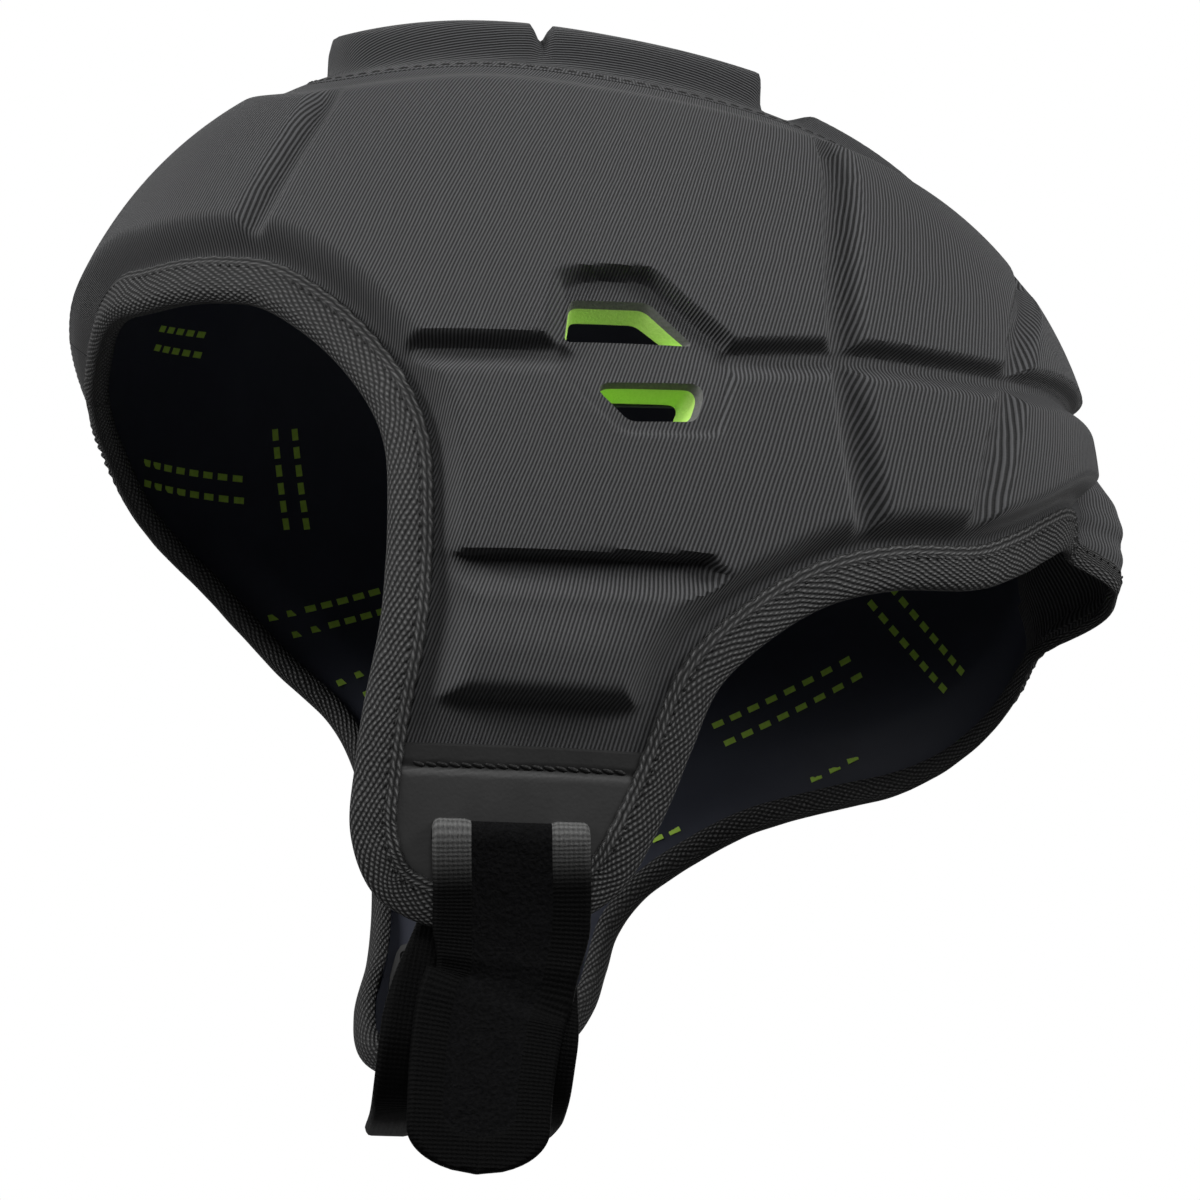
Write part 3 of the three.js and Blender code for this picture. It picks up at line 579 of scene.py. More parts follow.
def cut_patch(us, vs, keep, cut, seed):
    """A grid trimmed to the keep outlines and clear of the cut ones, its border drawn onto them.

    Gives the places, the quads, the border edges and the number of the outline that each place lies on.
    """
    grid = np.stack(np.meshgrid(us, vs), -1).reshape(-1, 2)
    columns = len(us)
    rows = len(vs)
    first = (np.arange(rows - 1)[:, None] * columns + np.arange(columns - 1)).ravel()
    quads = np.stack([first, first + 1, first + 1 + columns, first + columns], 1)
    middle = grid[quads].mean(1)
    kept = np.ones(len(quads), bool)
    for outline in keep:
        kept &= inside_outline(middle, outline)
    for outline in cut:
        kept &= ~inside_outline(middle, outline)
    start = np.argmin(np.where(kept, ((middle - seed) ** 2).sum(1), 1e9))
    shape = (rows - 1, columns - 1)
    kept = connected(kept.reshape(shape), np.unravel_index(start, shape)).ravel()
    used, faces = np.unique(quads[kept], return_inverse=True)
    faces = faces.reshape(-1, 4)
    places = grid[used]
    edges = np.concatenate([faces[:, [i, (i + 1) % 4]] for i in range(4)])
    ways = {(a, b) for a, b in edges.tolist()}
    border = np.array([e for e in edges.tolist() if (e[1], e[0]) not in ways])
    ends = np.unique(border)
    best = np.full(len(ends), 1e9)
    moved = places[ends]
    lies_on = np.full(len(places), -1)
    for i, outline in enumerate(list(keep) + list(cut)):
        d, q = nearest_on_outline(places[ends], outline)
        nearer = d < best
        best[nearer] = d[nearer]
        moved[nearer] = q[nearer]
        lies_on[ends[nearer]] = i
    places[ends] = moved
    return places, faces, border, lies_on


def linked(name, data):
    """A new object in the scene."""
    thing = bpy.data.objects.new(name, data)
    bpy.context.scene.collection.objects.link(thing)
    return thing


def turn_to(thing, axes, place):
    """Sets an object at a place, turned to three axes."""
    matrix = np.eye(4)
    matrix[:3, :3] = np.stack(axes, 1)
    matrix[:3, 3] = place
    thing.matrix_world = Matrix(matrix.tolist())


def make_piece(name, points, faces, materials, index=None, cloth=None, crease=40):
    """A smooth-shaded mesh in the part's frame.

    cloth is the fabric's own coordinate in millimetres, and where given, the share of painted crease shade
    from 0 to 1.
    """
    mesh = bpy.data.meshes.new(name)
    mesh.from_pydata(to_frame(points).tolist(), [], [list(map(int, f)) for f in faces])
    for material in materials:
        mesh.materials.append(material)
    if index is not None:
        mesh.polygons.foreach_set("material_index", np.asarray(index, np.int32))
    mesh.polygons.foreach_set("use_smooth", np.ones(len(mesh.polygons), bool))
    mesh.set_sharp_from_angle(angle=math.radians(crease))
    if cloth is not None:
        flat = np.zeros((len(points), 3), np.float32)
        flat[:, :cloth.shape[1]] = cloth
        mesh.attributes.new("cloth", "FLOAT_VECTOR", "POINT").data.foreach_set("vector", flat.ravel())
    mesh.update()
    return linked(name, mesh)


def outward_faces(piece):
    """Turns a closed mesh's faces outward."""
    mesh = bmesh.new()
    mesh.from_mesh(piece.data)
    bmesh.ops.recalc_face_normals(mesh, faces=mesh.faces)
    mesh.to_mesh(piece.data)
    mesh.free()
    return piece


def closed_wall(faces, border, count, rings=1):
    """Faces of a closed wall: the outer side, the inner side, and rings of quads joining their borders.

    Places are listed outer first, then one copy for each ring between, then inner.
    """
    out = [faces]
    marks = [np.zeros(len(faces), int)]
    for r in range(rings):
        a = border[:, 0] + r * count
        b = border[:, 1] + r * count
        out.append(np.stack([b, a, a + count, b + count], 1))
        marks.append(np.full(len(border), r + 1))
    out.append(faces[:, ::-1] + rings * count)
    marks.append(np.full(len(faces), -1))
    return np.concatenate(out), np.concatenate(marks)


def drop_unused(points, faces, cloth):
    used, faces = np.unique(faces, return_inverse=True)
    return points[used], faces.reshape(-1, 4), cloth[used]


def swept(rings, closed_length, caps=False):
    """Quads over rings of places, rings being (length, section, 3)."""
    length, section = rings.shape[:2]
    spans = length if closed_length else length - 1
    row, column = (a.ravel() for a in np.meshgrid(np.arange(spans), np.arange(section), indexing="ij"))
    row = row * section
    next_row = (row + section) % (length * section)
    next_column = (column + 1) % section
    faces = np.stack([row + column, row + next_column, next_row + next_column, next_row + column], 1).tolist()
    if caps:
        faces.append(list(range(section))[::-1])
        faces.append([(length - 1) * section + place for place in range(section)])
    return faces


# Node trees
def wire(tree, kind, values=None, links=None, **settings):
    """A node with its settings, socket values and incoming links."""
    node = tree.nodes.new(kind)
    for key, value in settings.items():
        setattr(node, key, value)
    for key, value in (values or {}).items():
        node.inputs[key].default_value = value
    for key, source in (links or {}).items():
        tree.links.new(source, node.inputs[key])
    return node


def math_node(tree, operation, *terms):
    """Arithmetic on numbers and sockets."""
    node = tree.nodes.new("ShaderNodeMath")
    node.operation = operation
    for socket, term in zip(node.inputs, terms):
        if isinstance(term, (int, float)):
            socket.default_value = term
        else:
            tree.links.new(term, socket)
    return node.outputs[0]


def times(tree, a, b):
    return math_node(tree, "MULTIPLY", a, b)


def plus(tree, a, b):
    return math_node(tree, "ADD", a, b)


def minus(tree, a, b):
    return math_node(tree, "SUBTRACT", a, b)


def mapped(tree, value, start, end, low=0.0, high=1.0, smooth=False):
    """A value that goes from low to high as another goes from start to end."""
    limits = {"From Min": start, "From Max": end, "To Min": low, "To Max": high}
    way = "SMOOTHSTEP" if smooth else "LINEAR"
    return wire(tree, "ShaderNodeMapRange", limits, {"Value": value}, interpolation_type=way).outputs[0]


def new_finish(name, **shader_values):
    """A material with a principled shader; constant numbers sit on the shader's own sockets."""
    material = bpy.data.materials.new(name)
    material.use_nodes = True
    tree = material.node_tree
    tree.nodes.clear()
    values = {key.replace("_", " "): value for key, value in shader_values.items()}
    shader = wire(tree, "ShaderNodeBsdfPrincipled", values)
    wire(tree, "ShaderNodeOutputMaterial", links={"Surface": shader.outputs[0]})
    return material, tree, shader


def cloth_axes(tree):
    """The place on the flat fabric, its two directions in millimetres, and its share of painted crease shade.
    """
    place = wire(tree, "ShaderNodeAttribute", attribute_name="cloth")
    axes = wire(tree, "ShaderNodeSeparateXYZ", links={"Vector": place.outputs["Vector"]})
    flat = wire(tree, "ShaderNodeCombineXYZ", links={"X": axes.outputs["X"], "Y": axes.outputs["Y"]})
    return flat.outputs[0], axes.outputs["X"], axes.outputs["Y"], axes.outputs["Z"]


def noise(tree, vector, scale, detail=2.0):
    node = wire(tree, "ShaderNodeTexNoise", {"Scale": scale, "Detail": detail}, {"Vector": vector})
    return node.outputs["Fac"]


def wave(tree, value, pitch):
    """A smooth wave from 0 to 1 along a length in millimetres."""
    turn = math_node(tree, "SINE", times(tree, value, 2 * math.pi / pitch))
    return math_node(tree, "MULTIPLY_ADD", turn, 0.5, 0.5)


def object_place(tree):
    return wire(tree, "ShaderNodeTexCoord").outputs["Object"]


def tinted(tree, shader, factor, low, high):
    """Base colour from low to high."""
    ramp = tree.nodes.new("ShaderNodeValToRGB")
    ramp.color_ramp.elements[0].color = (*low, 1)
    ramp.color_ramp.elements[1].color = (*high, 1)
    tree.links.new(factor, ramp.inputs[0])
    tree.links.new(ramp.outputs["Color"], shader.inputs["Base Color"])


def bumped(tree, shader, height, millimetres, strength=1.0):
    values = {"Strength": strength, "Distance": millimetres / 1000}
    bump = wire(tree, "ShaderNodeBump", values, {"Height": height})
    tree.links.new(bump.outputs["Normal"], shader.inputs["Normal"])


# Finishes
def ribbed_knit():
    material, tree, shader = new_finish(
        "ribbed_knit", Roughness=0.7, Sheen_Weight=0.12, Sheen_Roughness=0.45, Specular_IOR_Level=0.25)
    place, across, _, crease_shade = cloth_axes(tree)
    wander = times(tree, minus(tree, noise(tree, place, 0.06), 0.5), 0.9)
    rib = wave(tree, plus(tree, across, wander), RIB_PITCH)
    fuzz = noise(tree, place, 2.6, 3.0)
    line = mapped(tree, rib, 0.25, 0.85, smooth=True)
    tint = plus(tree, times(tree, line, 0.75), times(tree, fuzz, 0.25))
    # Painted shade: the knit's colour is darkened in the creases by the painted shade share.
    tint = times(tree, tint, minus(tree, 1.0, times(tree, crease_shade, CREASE_SHADE_DARKER)))
    tinted(tree, shader, tint, (0.0005, 0.0005, 0.0006), (0.103, 0.104, 0.108))
    bumped(tree, shader, plus(tree, rib, times(tree, fuzz, 0.3)), 0.2, 0.8)
    return material


def twill_tape():
    """Twill ribs that look like slanting twisted cords, with two straight cords along the sewn edge."""
    material, tree, shader = new_finish(
        "woven_tape", Roughness=0.65, Sheen_Weight=0.04, Sheen_Roughness=0.4, Specular_IOR_Level=0.35)
    place, along, across, _ = cloth_axes(tree)
    wander = times(tree, minus(tree, noise(tree, place, 0.22), 0.5), 1.3)
    slanting = plus(tree, minus(tree, across, times(tree, along, TAPE_SLANT)), wander)
    twill = math_node(tree, "POWER", wave(tree, slanting, TAPE_CORD), 1.1)
    straight = math_node(tree, "POWER", wave(tree, across, TAPE_CORD), 1.1)
    body = mapped(tree, across, TAPE_SELVEDGE, TAPE_SELVEDGE + 0.3)
    cord = plus(tree, times(tree, twill, body), times(tree, straight, minus(tree, 1.0, body)))
    lean = plus(tree, along, times(tree, slanting, 0.9))
    yarn = plus(tree, times(tree, wave(tree, lean, TAPE_TWIST), 0.75), 0.25)
    fuzz = noise(tree, place, 4.0, 3.0)
    height = times(tree, cord, yarn)
    tint = times(tree, height, plus(tree, fuzz, 0.5))
    tinted(tree, shader, tint, (0.0003, 0.0003, 0.0004), (0.145, 0.145, 0.145))
    bumped(tree, shader, plus(tree, height, times(tree, fuzz, 0.25)), 0.4)
    return material


def faux_leather(name, tone, gloss):
    material, tree, shader = new_finish(name, Specular_IOR_Level=gloss)
    place = object_place(tree)
    grain = wire(tree, "ShaderNodeTexVoronoi", {"Scale": 1500.0}, {"Vector": place}, feature="SMOOTH_F1")
    cloud = noise(tree, place, 90.0, 3.0)
    tinted(tree, shader, cloud, (tone * 0.8,) * 3, (tone * 1.2,) * 3)
    roughness = math_node(tree, "MULTIPLY_ADD", cloud, 0.2, 0.38)
    tree.links.new(roughness, shader.inputs["Roughness"])
    bumped(tree, shader, plus(tree, grain.outputs["Distance"], times(tree, cloud, 0.6)), 0.06, 0.5)
    return material


def loop_pile():
    material, tree, shader = new_finish("loop_pile", Roughness=0.95, Specular_IOR_Level=0.05)
    place = object_place(tree)
    tuft = noise(tree, place, 1300.0, 4.0)
    tinted(tree, shader, tuft, (0.001, 0.001, 0.0011), (0.009, 0.009, 0.0095))
    bumped(tree, shader, plus(tree, tuft, noise(tree, place, 240.0)), 0.6)
    return material


def woven_edge():
    """Woven edge of the strap, with a painted highlight where the strap bends out of the slot."""
    material, tree, shader = new_finish("woven_edge", Roughness=0.6, Specular_IOR_Level=0.03)
    place, along, across, _ = cloth_axes(tree)
    weave = plus(tree, wave(tree, along, EDGE_WEFT), times(tree, wave(tree, across, EDGE_WARP), 0.5))
    fuzz = noise(tree, place, 3.0, 3.0)
    height = plus(tree, times(tree, weave, 0.4), times(tree, fuzz, 0.9))
    # Painted highlight: the edge's colour is lightest over the bend out of the slot and falls to a small
    # share of it before and after.
    past = mapped(tree, along, 3.0, 17.0, 1.0, EDGE_PAST_HIGHLIGHT, smooth=True)
    before = mapped(tree, along, -8.0, -3.0, EDGE_PAST_HIGHLIGHT, 1.0)
    bend_highlight = math_node(tree, "MINIMUM", past, before)
    tint = times(tree, times(tree, height, 0.6), bend_highlight)
    tinted(tree, shader, tint, (0.0004, 0.0004, 0.0005), (0.24, 0.24, 0.237))
    bumped(tree, shader, height, 0.2)
    return material


def lining_cloth():
    material, tree, shader = new_finish(
        "lining_cloth", Roughness=0.6, Sheen_Weight=0.02, Sheen_Roughness=0.4, Specular_IOR_Level=0.3)
    place = object_place(tree)
    tinted(tree, shader, noise(tree, place, 60.0, 3.0), (0.028, 0.031, 0.045), (0.048, 0.053, 0.075))
    bumped(tree, shader, noise(tree, place, 2600.0), 0.05, 0.6)
    return material


def foam_edge(name, low, high):
    material, tree, shader = new_finish(name, Roughness=0.85, Specular_IOR_Level=0.25)
    pores = noise(tree, object_place(tree), 1800.0, 3.0)
    tinted(tree, shader, pores, low, high)
    bumped(tree, shader, pores, 0.15)
    return material


def plain_thread(name, low, high):
    material, tree, shader = new_finish(name, Roughness=0.55, Specular_IOR_Level=0.35)
    twist = noise(tree, object_place(tree), 2200.0)
    tinted(tree, shader, twist, (low,) * 3, (high,) * 3)
    bumped(tree, shader, twist, 0.08)
    return material


def print_ink():
    material, tree, shader = new_finish("print_ink", Roughness=0.6, Specular_IOR_Level=0.25)
    wear = noise(tree, object_place(tree), 900.0, 3.0)
    tinted(tree, shader, wear, (0.42, 0.70, 0.08), (0.62, 0.92, 0.14))
    return material


RIB_PITCH = 0.7
# How much darker the painted crease shade makes the knit.
CREASE_SHADE_DARKER = 0.28
TAPE_CORD = 1.08
TAPE_TWIST = 0.95
TAPE_SLANT = 0.5
TAPE_SELVEDGE = 1.7
EDGE_WEFT = 0.8
EDGE_WARP = 0.9
# Share of the painted bend highlight's tone that is left on the strap's edge away from the bend.
EDGE_PAST_HIGHLIGHT = 0.03
KNIT = ribbed_knit()
TAPE = twill_tape()
LEATHER = faux_leather("faux_leather", 0.036, 0.4)
LEATHER_FOLD = faux_leather("faux_leather_fold", 0.024, 0.25)
PILE = loop_pile()
EDGE = woven_edge()
LINING_CLOTH = lining_cloth()
FOAM = foam_edge("foam_edge", (0.52, 0.88, 0.17), (0.68, 0.99, 0.27))
FOAM_SKIN = foam_edge("foam_skin", (0.10, 0.10, 0.098), (0.20, 0.20, 0.196))
THREAD = plain_thread("sewing_thread", 0.006, 0.03)
NEEDLE_HOLE = plain_thread("sunk_thread", 0.001, 0.006)
INK = print_ink()


# What repeats: one shape set along lines of places
def repeat_tree(shape):
    """Geometry nodes that set a small shape on each place, turned by the place's along and facing."""
    tree = bpy.data.node_groups.new(f"set_{shape}", "GeometryNodeTree")

    def added(name, kind, way="INPUT"):
        return tree.interface.new_socket(name, in_out=way, socket_type=f"NodeSocket{kind}").identifier

    added("Geometry", "Geometry")
    sockets = {name: added(name, "Float") for name in ("Length", "Width", "Height")}
    sockets["Material"] = added("Material", "Material")
    added("Geometry", "Geometry", "OUTPUT")
    source = tree.nodes.new("NodeGroupInput")
    if shape == "stitch":
        ball = {"Segments": 8, "Rings": 6, "Radius": 0.5}
        body = wire(tree, "GeometryNodeMeshUVSphere", ball).outputs["Mesh"]
    elif shape == "dash":
        body = wire(tree, "GeometryNodeMeshCube", {"Size": (1, 1, 1)}).outputs["Mesh"]
    else:
        arc = wire(tree, "GeometryNodeCurveArc", {"Resolution": 5, "Radius": 0.5, "Sweep Angle": math.pi})
        yarn = wire(tree, "GeometryNodeCurvePrimitiveCircle", {"Resolution": 3, "Radius": 0.1})
        bent = wire(tree, "GeometryNodeCurveToMesh", {"Fill Caps": True}, {
            "Curve": arc.outputs["Curve"], "Profile Curve": yarn.outputs["Curve"]})
        body = wire(tree, "GeometryNodeTransform", {"Rotation": (math.pi / 2, 0, 0)}, {
            "Geometry": bent.outputs["Mesh"]}).outputs["Geometry"]
    turns = None
    for name, axis in (("facing", "Z"), ("along", "X")):
        way = wire(tree, "GeometryNodeInputNamedAttribute", {"Name": name}, data_type="FLOAT_VECTOR")
        links = {"Vector": way.outputs["Attribute"]}
        if turns is not None:
            links["Rotation"] = turns
        pivot = "AUTO" if turns is None else "Z"
        turn = wire(tree, "FunctionNodeAlignRotationToVector", links=links, axis=axis, pivot_axis=pivot)
        turns = turn.outputs[0]
    size = wire(tree, "ShaderNodeCombineXYZ", links={
        "X": source.outputs["Length"], "Y": source.outputs["Width"], "Z": source.outputs["Height"]})
    placed = wire(tree, "GeometryNodeInstanceOnPoints", links={
        "Points": source.outputs["Geometry"], "Instance": body,
        "Rotation": turns, "Scale": size.outputs[0]})
    joined = wire(tree, "GeometryNodeRealizeInstances", links={"Geometry": placed.outputs[0]})
    painted = wire(tree, "GeometryNodeSetMaterial", links={
        "Geometry": joined.outputs[0], "Material": source.outputs["Material"]})
    wire(tree, "NodeGroupOutput", links={"Geometry": painted.outputs[0]})
    return tree, sockets


REPEATS = {shape: repeat_tree(shape) for shape in ("stitch", "dash", "loop")}


def bake_nodes(piece, modifier):
    """The evaluated result as the piece's own plain mesh."""
    graph = bpy.context.evaluated_depsgraph_get()
    mesh = bpy.data.meshes.new_from_object(piece.evaluated_get(graph))
    piece.modifiers.remove(modifier)
    piece.data = mesh
    return piece


def repeated(name, shape, places, along, facing, size, material):
    """One mesh of small shapes; size is length, width and height in millimetres."""
    mesh = bpy.data.meshes.new(name)
    mesh.from_pydata(to_frame(places).tolist(), [], [])
    for key, values in (("along", along), ("facing", facing)):
        data = np.asarray(values, np.float32).ravel()
        mesh.attributes.new(key, "FLOAT_VECTOR", "POINT").data.foreach_set("vector", data)
    piece = linked(name, mesh)
    tree, sockets = REPEATS[shape]
    modifier = piece.modifiers.new("repeat", "NODES")
    modifier.node_group = tree
    for key, value in zip(("Length", "Width", "Height"), size):
        modifier[sockets[key]] = value / 1000
    modifier[sockets["Material"]] = material
    return bake_nodes(piece, modifier)


def run_of_places(line, pitch, closed=False):
    """Even places along a line and the line's direction there."""
    if closed:
        line = np.concatenate([line, line[:1]])
    places = evenly(line, max(int(lengths(line)[-1] / pitch), 2), closed)
    if closed:
        along = np.roll(places, -1, axis=0) - np.roll(places, 1, axis=0)
    else:
        along = np.gradient(places, axis=0)
    return places, unit(along)


# Padded side panels
SIDE_STEP = 0.52
SIDE_FINE_STEP = 0.3
SIDE_SEED = (0, 25)
INSIDE_SHARE = {"side": 0.58, "crown": 0.62}
RIB_LEAN = {"front": 0.38, "back": 0.1, "fades": (-5.0, 75.0)}
MIDDLE_PLANE = 89.85
STRIP_TILT = (-45, 80)


def rib_place(uv):
    """Fabric coordinate of a side panel: across its ribs and along them. The ribs lean back at the front."""
    lean = RIB_LEAN["back"] + (RIB_LEAN["front"] - RIB_LEAN["back"]) * fall(uv[:, 0], *RIB_LEAN["fades"])
    return np.stack([uv[:, 0] - lean * uv[:, 1], uv[:, 1]], 1) * MM_PER_DEGREE


def thin_inside(piece, first_inner, share):
    """Fewer faces on the hidden inner side."""
    group = piece.vertex_groups.new(name="inside")
    group.add(list(range(first_inner, len(piece.data.vertices))), 1.0, "REPLACE")
    modifier = piece.modifiers.new("thin", "DECIMATE")
    modifier.ratio = share
    modifier.vertex_group = group.name
    bake_nodes(piece, modifier)
    piece.vertex_groups.clear()
    return piece


def far_outline(line, corners):
    return np.concatenate([line, np.array(corners, float)])


def strip_places(uv, depth):
    """Places of the back strip from across millimetres and tilt about the ear axis, at a depth."""
    x = uv[:, 0]
    tilt = np.radians(uv[:, 1] / STRIP_SCALE)
    reach = bisect(lambda r: np.stack([x, r * np.cos(tilt), r * np.sin(tilt)], -1), 15, 200, depth, x.shape)
    return np.stack([x, reach * np.cos(tilt), reach * np.sin(tilt)], 1)


def side_panel(side):
    name = "left_side_pad" if side > 0 else "right_side_pad"
    rim = side_angles(half_rim(side, UNDER_TAPE), side)
    above = far_outline(rim, [(150, rim[-1, 1]), (150, 150), (-150, 150), (-150, rim[0, 1])])
    around = np.linspace(0, 2 * math.pi, 240, endpoint=False)
    middle = MIDDLE_PLANE * np.stack([np.cos(around), np.sin(around)], 1)
    seam = side_angles(on_dome(smooth_seam(GAP), SEAM_DEPTH), side)
    tilt = np.linspace(*STRIP_TILT, 60)
    strip = np.stack([np.full(len(tilt), side * (BACK_STRIP_HALF + GAP)), tilt * STRIP_SCALE], 1)
    strip = side_angles(strip_places(strip, FLANGE), side)
    strip = far_outline(strip, [(strip[-1, 0], 150), (150, 150), (150, -90), (strip[0, 0], -90)])
    vents = [side_angles(on_side(v, side, RECESS_DEPTH), side) for v in vent_outlines]
    slots = [side_angles(on_side(slot_outline, side, FLANGE), side)] if side > 0 else []
    us = grid_lines(-97, 103, SIDE_STEP, [(-4, 25)], SIDE_FINE_STEP)
    vs = grid_lines(-70, 92, SIDE_STEP, [(-51, -42), (-15, 12)], SIDE_FINE_STEP)
    cut = [seam, strip, *vents, *slots]
    places, faces, border, lies_on = cut_patch(us, vs, [above, middle], cut, SIDE_SEED)
    direction = side_direction(places, side)
    level_0 = on_shell(direction, 0)
    depth, crease_shade = side_relief(level_0, side)
    lip = depth + np.where(depth < FLANGE - 1, VENT_LIP, 0.25)
    draw_in = np.zeros_like(places)
    first_vent = 4
    shift = np.array(VENT_SHIFT) / MM_PER_DEGREE
    for i, vent in enumerate(vents):
        edge = lies_on == first_vent + i
        draw_in[edge] = shrunk(places[edge], vent, VENT_DRAFT / MM_PER_DEGREE) - places[edge] + shift
    inner = FOAM_INNER + inner_shift(level_0, distance_to_line(level_0, RIM_LINES[side]))
    points = np.concatenate([
        on_shell(direction, depth),
        on_shell(side_direction(places + draw_in * VENT_LIP_SHARE, side), lip),
        on_shell(side_direction(places + draw_in, side), np.maximum(inner, depth + 0.5)),
    ])
    walls, marks = closed_wall(faces, border, len(places), rings=2)
    # The fabric coordinate carries the painted crease shade share as its third value.
    cloth = np.tile(np.column_stack([rib_place(places), crease_shade]), (3, 1))
    on_vent = np.isin(np.tile(lies_on, 3)[walls], range(first_vent, first_vent + len(vents))).all(1)
    index = np.where(on_vent & (marks > 0), 3 - marks, 0)
    if side < 0:
        walls = walls[:, ::-1]
    points, walls, cloth = drop_unused(points, walls, cloth)
    piece = make_piece(name, points, walls, [KNIT, FOAM, FOAM_SKIN], index, cloth)
    return thin_inside(piece, len(points) - len(places), INSIDE_SHARE["side"])


# Crown strip
CROWN_STEP = 0.5
CROWN_RIBS_TURN = 0.08
CROWN_FLANGE_RADIUS = 62.0


def crown_panel():
    outline = crown_angles(on_dome(smooth_seam(-GAP), SEAM_DEPTH))
    places, faces, border, _ = cut_patch(
        grid_lines(-48, 48, CROWN_STEP), grid_lines(-46, 74, CROWN_STEP), [outline], [], (0, 10))
    direction = crown_direction(places)
    level_0 = on_shell(direction, 0)
    depth = crown_relief(level_0)
    points = np.concatenate([on_shell(direction, depth), on_shell(direction, FOAM_INNER)])
    walls, _ = closed_wall(faces, border, len(places))
    flat = places * MM_PER_DEGREE
    flat[:, 0] += np.sign(flat[:, 0]) * (depth - SEAM_DEPTH) + CROWN_RIBS_TURN * flat[:, 1]
    from_seam = -outline_distance(level_0[:, :2], seam_outline)
    turn = np.arctan2(level_0[:, 0], SEAM_MIDDLE_Y - level_0[:, 1])
    on_flange = from_seam < CROWN_WALL[0] - 0.5
    flat[on_flange] = np.stack([turn * CROWN_FLANGE_RADIUS, from_seam], 1)[on_flange]
    piece = make_piece("crown_pad", points, walls, [KNIT], cloth=np.tile(flat, (2, 1)))
    return thin_inside(piece, len(places), INSIDE_SHARE["crown"])


# Back strip: a thin piece that stands away from the pads and is drawn in again by the edge tape
STRIP_STEP = 0.6
STRIP_THICKNESS = 2.0
STRIP_FLARE_Z = (-12.0, 34.0)
STRIP_DRAWN_IN = (2.0, 16.0)
PLEATS = {"turn": 1.05, "bow": 0.01, "height": 0.35, "reach": (4.0, 22.0)}


def back_strip():
    half = BACK_STRIP_HALF - GAP
    xs = np.linspace(-half, half, 40)
    lines = []
    for line in (rim_at(UNDER_TAPE, FLANGE), on_dome(smooth_seam(GAP), SEAM_DEPTH)):
        line = line[(np.abs(line[:, 0]) < half + 5) & (line[:, 1] > BACK_STRIP_FROM_Y)]
        line = line[np.argsort(line[:, 0])]
        tilt = np.degrees(np.arctan2(line[:, 2], line[:, 1]))
        lines.append(np.stack([xs, np.interp(xs, line[:, 0], tilt) * STRIP_SCALE], 1))
    outline = np.concatenate([lines[0], lines[1][::-1]])
    low = outline.min(0) - 1
    high = outline.max(0) + 1
    places, faces, border, _ = cut_patch(
        *(grid_lines(a, b, STRIP_STEP) for a, b in zip(low, high)), [outline], [], outline.mean(0))
    level_0 = strip_places(places, 0)
    above_rim = places[:, 1] - np.interp(places[:, 0], *lines[0].T)
    flare = BACK_FLARE * fall(level_0[:, 2], *STRIP_FLARE_Z)
    flare = flare - (BACK_FLARE - RIM_FLARE) * fall(above_rim, *STRIP_DRAWN_IN)
    turn = PLEATS["turn"] * above_rim + PLEATS["bow"] * places[:, 0] ** 2
    pleat = PLEATS["height"] * np.sin(turn) * fall(above_rim, *PLEATS["reach"])
    face = BACK_STRIP - flare * back_bulge(level_0) + pleat
    points = np.concatenate([strip_places(places, face), strip_places(places, face + STRIP_THICKNESS)])
    walls, _ = closed_wall(faces, border, len(places))
    piece = make_piece("back_strip", points, walls, [KNIT], cloth=np.tile(places, (2, 1)))
    return outward_faces(piece)


# Lining
LINING_STEP = 1.3
LINING_INWARD = 1.4
LINING_PAST_VENT = 0.6


def lining_shift(p):
    """How much deeper the lining lies at places on it, near the rim."""
    from_rim = distance_to_line(p, rim_at(0, LINING[0])[::4])
    flare = RIM_FLARE * back_bulge(p) * fall(from_rim, *FLARE_REACH)
    thin = BACK_EDGE["lining"] * back_edge(p) * fall(from_rim, *PINCH_REACH)
    return inner_shift(p, from_rim) - flare - thin


def lining():
    rim = crown_angles(rim_at(LINING_INWARD, LINING[0]))
    holes = []
    for side in (1, -1):
        for vent in vent_outlines:
            hole = shrunk(vent, vent, VENT_DRAFT - LINING_PAST_VENT) + VENT_SHIFT
            holes.append(crown_angles(on_side(hole, side, LINING[0])))
    holes.append(crown_angles(on_side(slot_outline, 1, LINING[0])))
    span = grid_lines(-158, 158, LINING_STEP)
    places, faces, border, _ = cut_patch(span, span, [rim], holes, (0, 10))
    direction = crown_direction(places)
    p = on_shell(direction, LINING[0])
    shift = lining_shift(p)
    points = np.concatenate([on_shell(direction, d + shift) for d in LINING])
    walls, _ = closed_wall(faces, border, len(places))
    middle = np.tile(p, (2, 1))[walls].mean(1)
    unlined = (middle[:, 1] > BACK_STRIP_FROM_Y) & (middle[:, 2] < UNLINED["top"])
    unlined &= np.abs(middle[:, 0]) < BACK_STRIP_HALF + UNLINED["margin"]
    cloth = np.tile(places * MM_PER_DEGREE, (2, 1))
    return make_piece("printed_lining", points, walls, [LINING_CLOTH, KNIT], unlined, cloth)


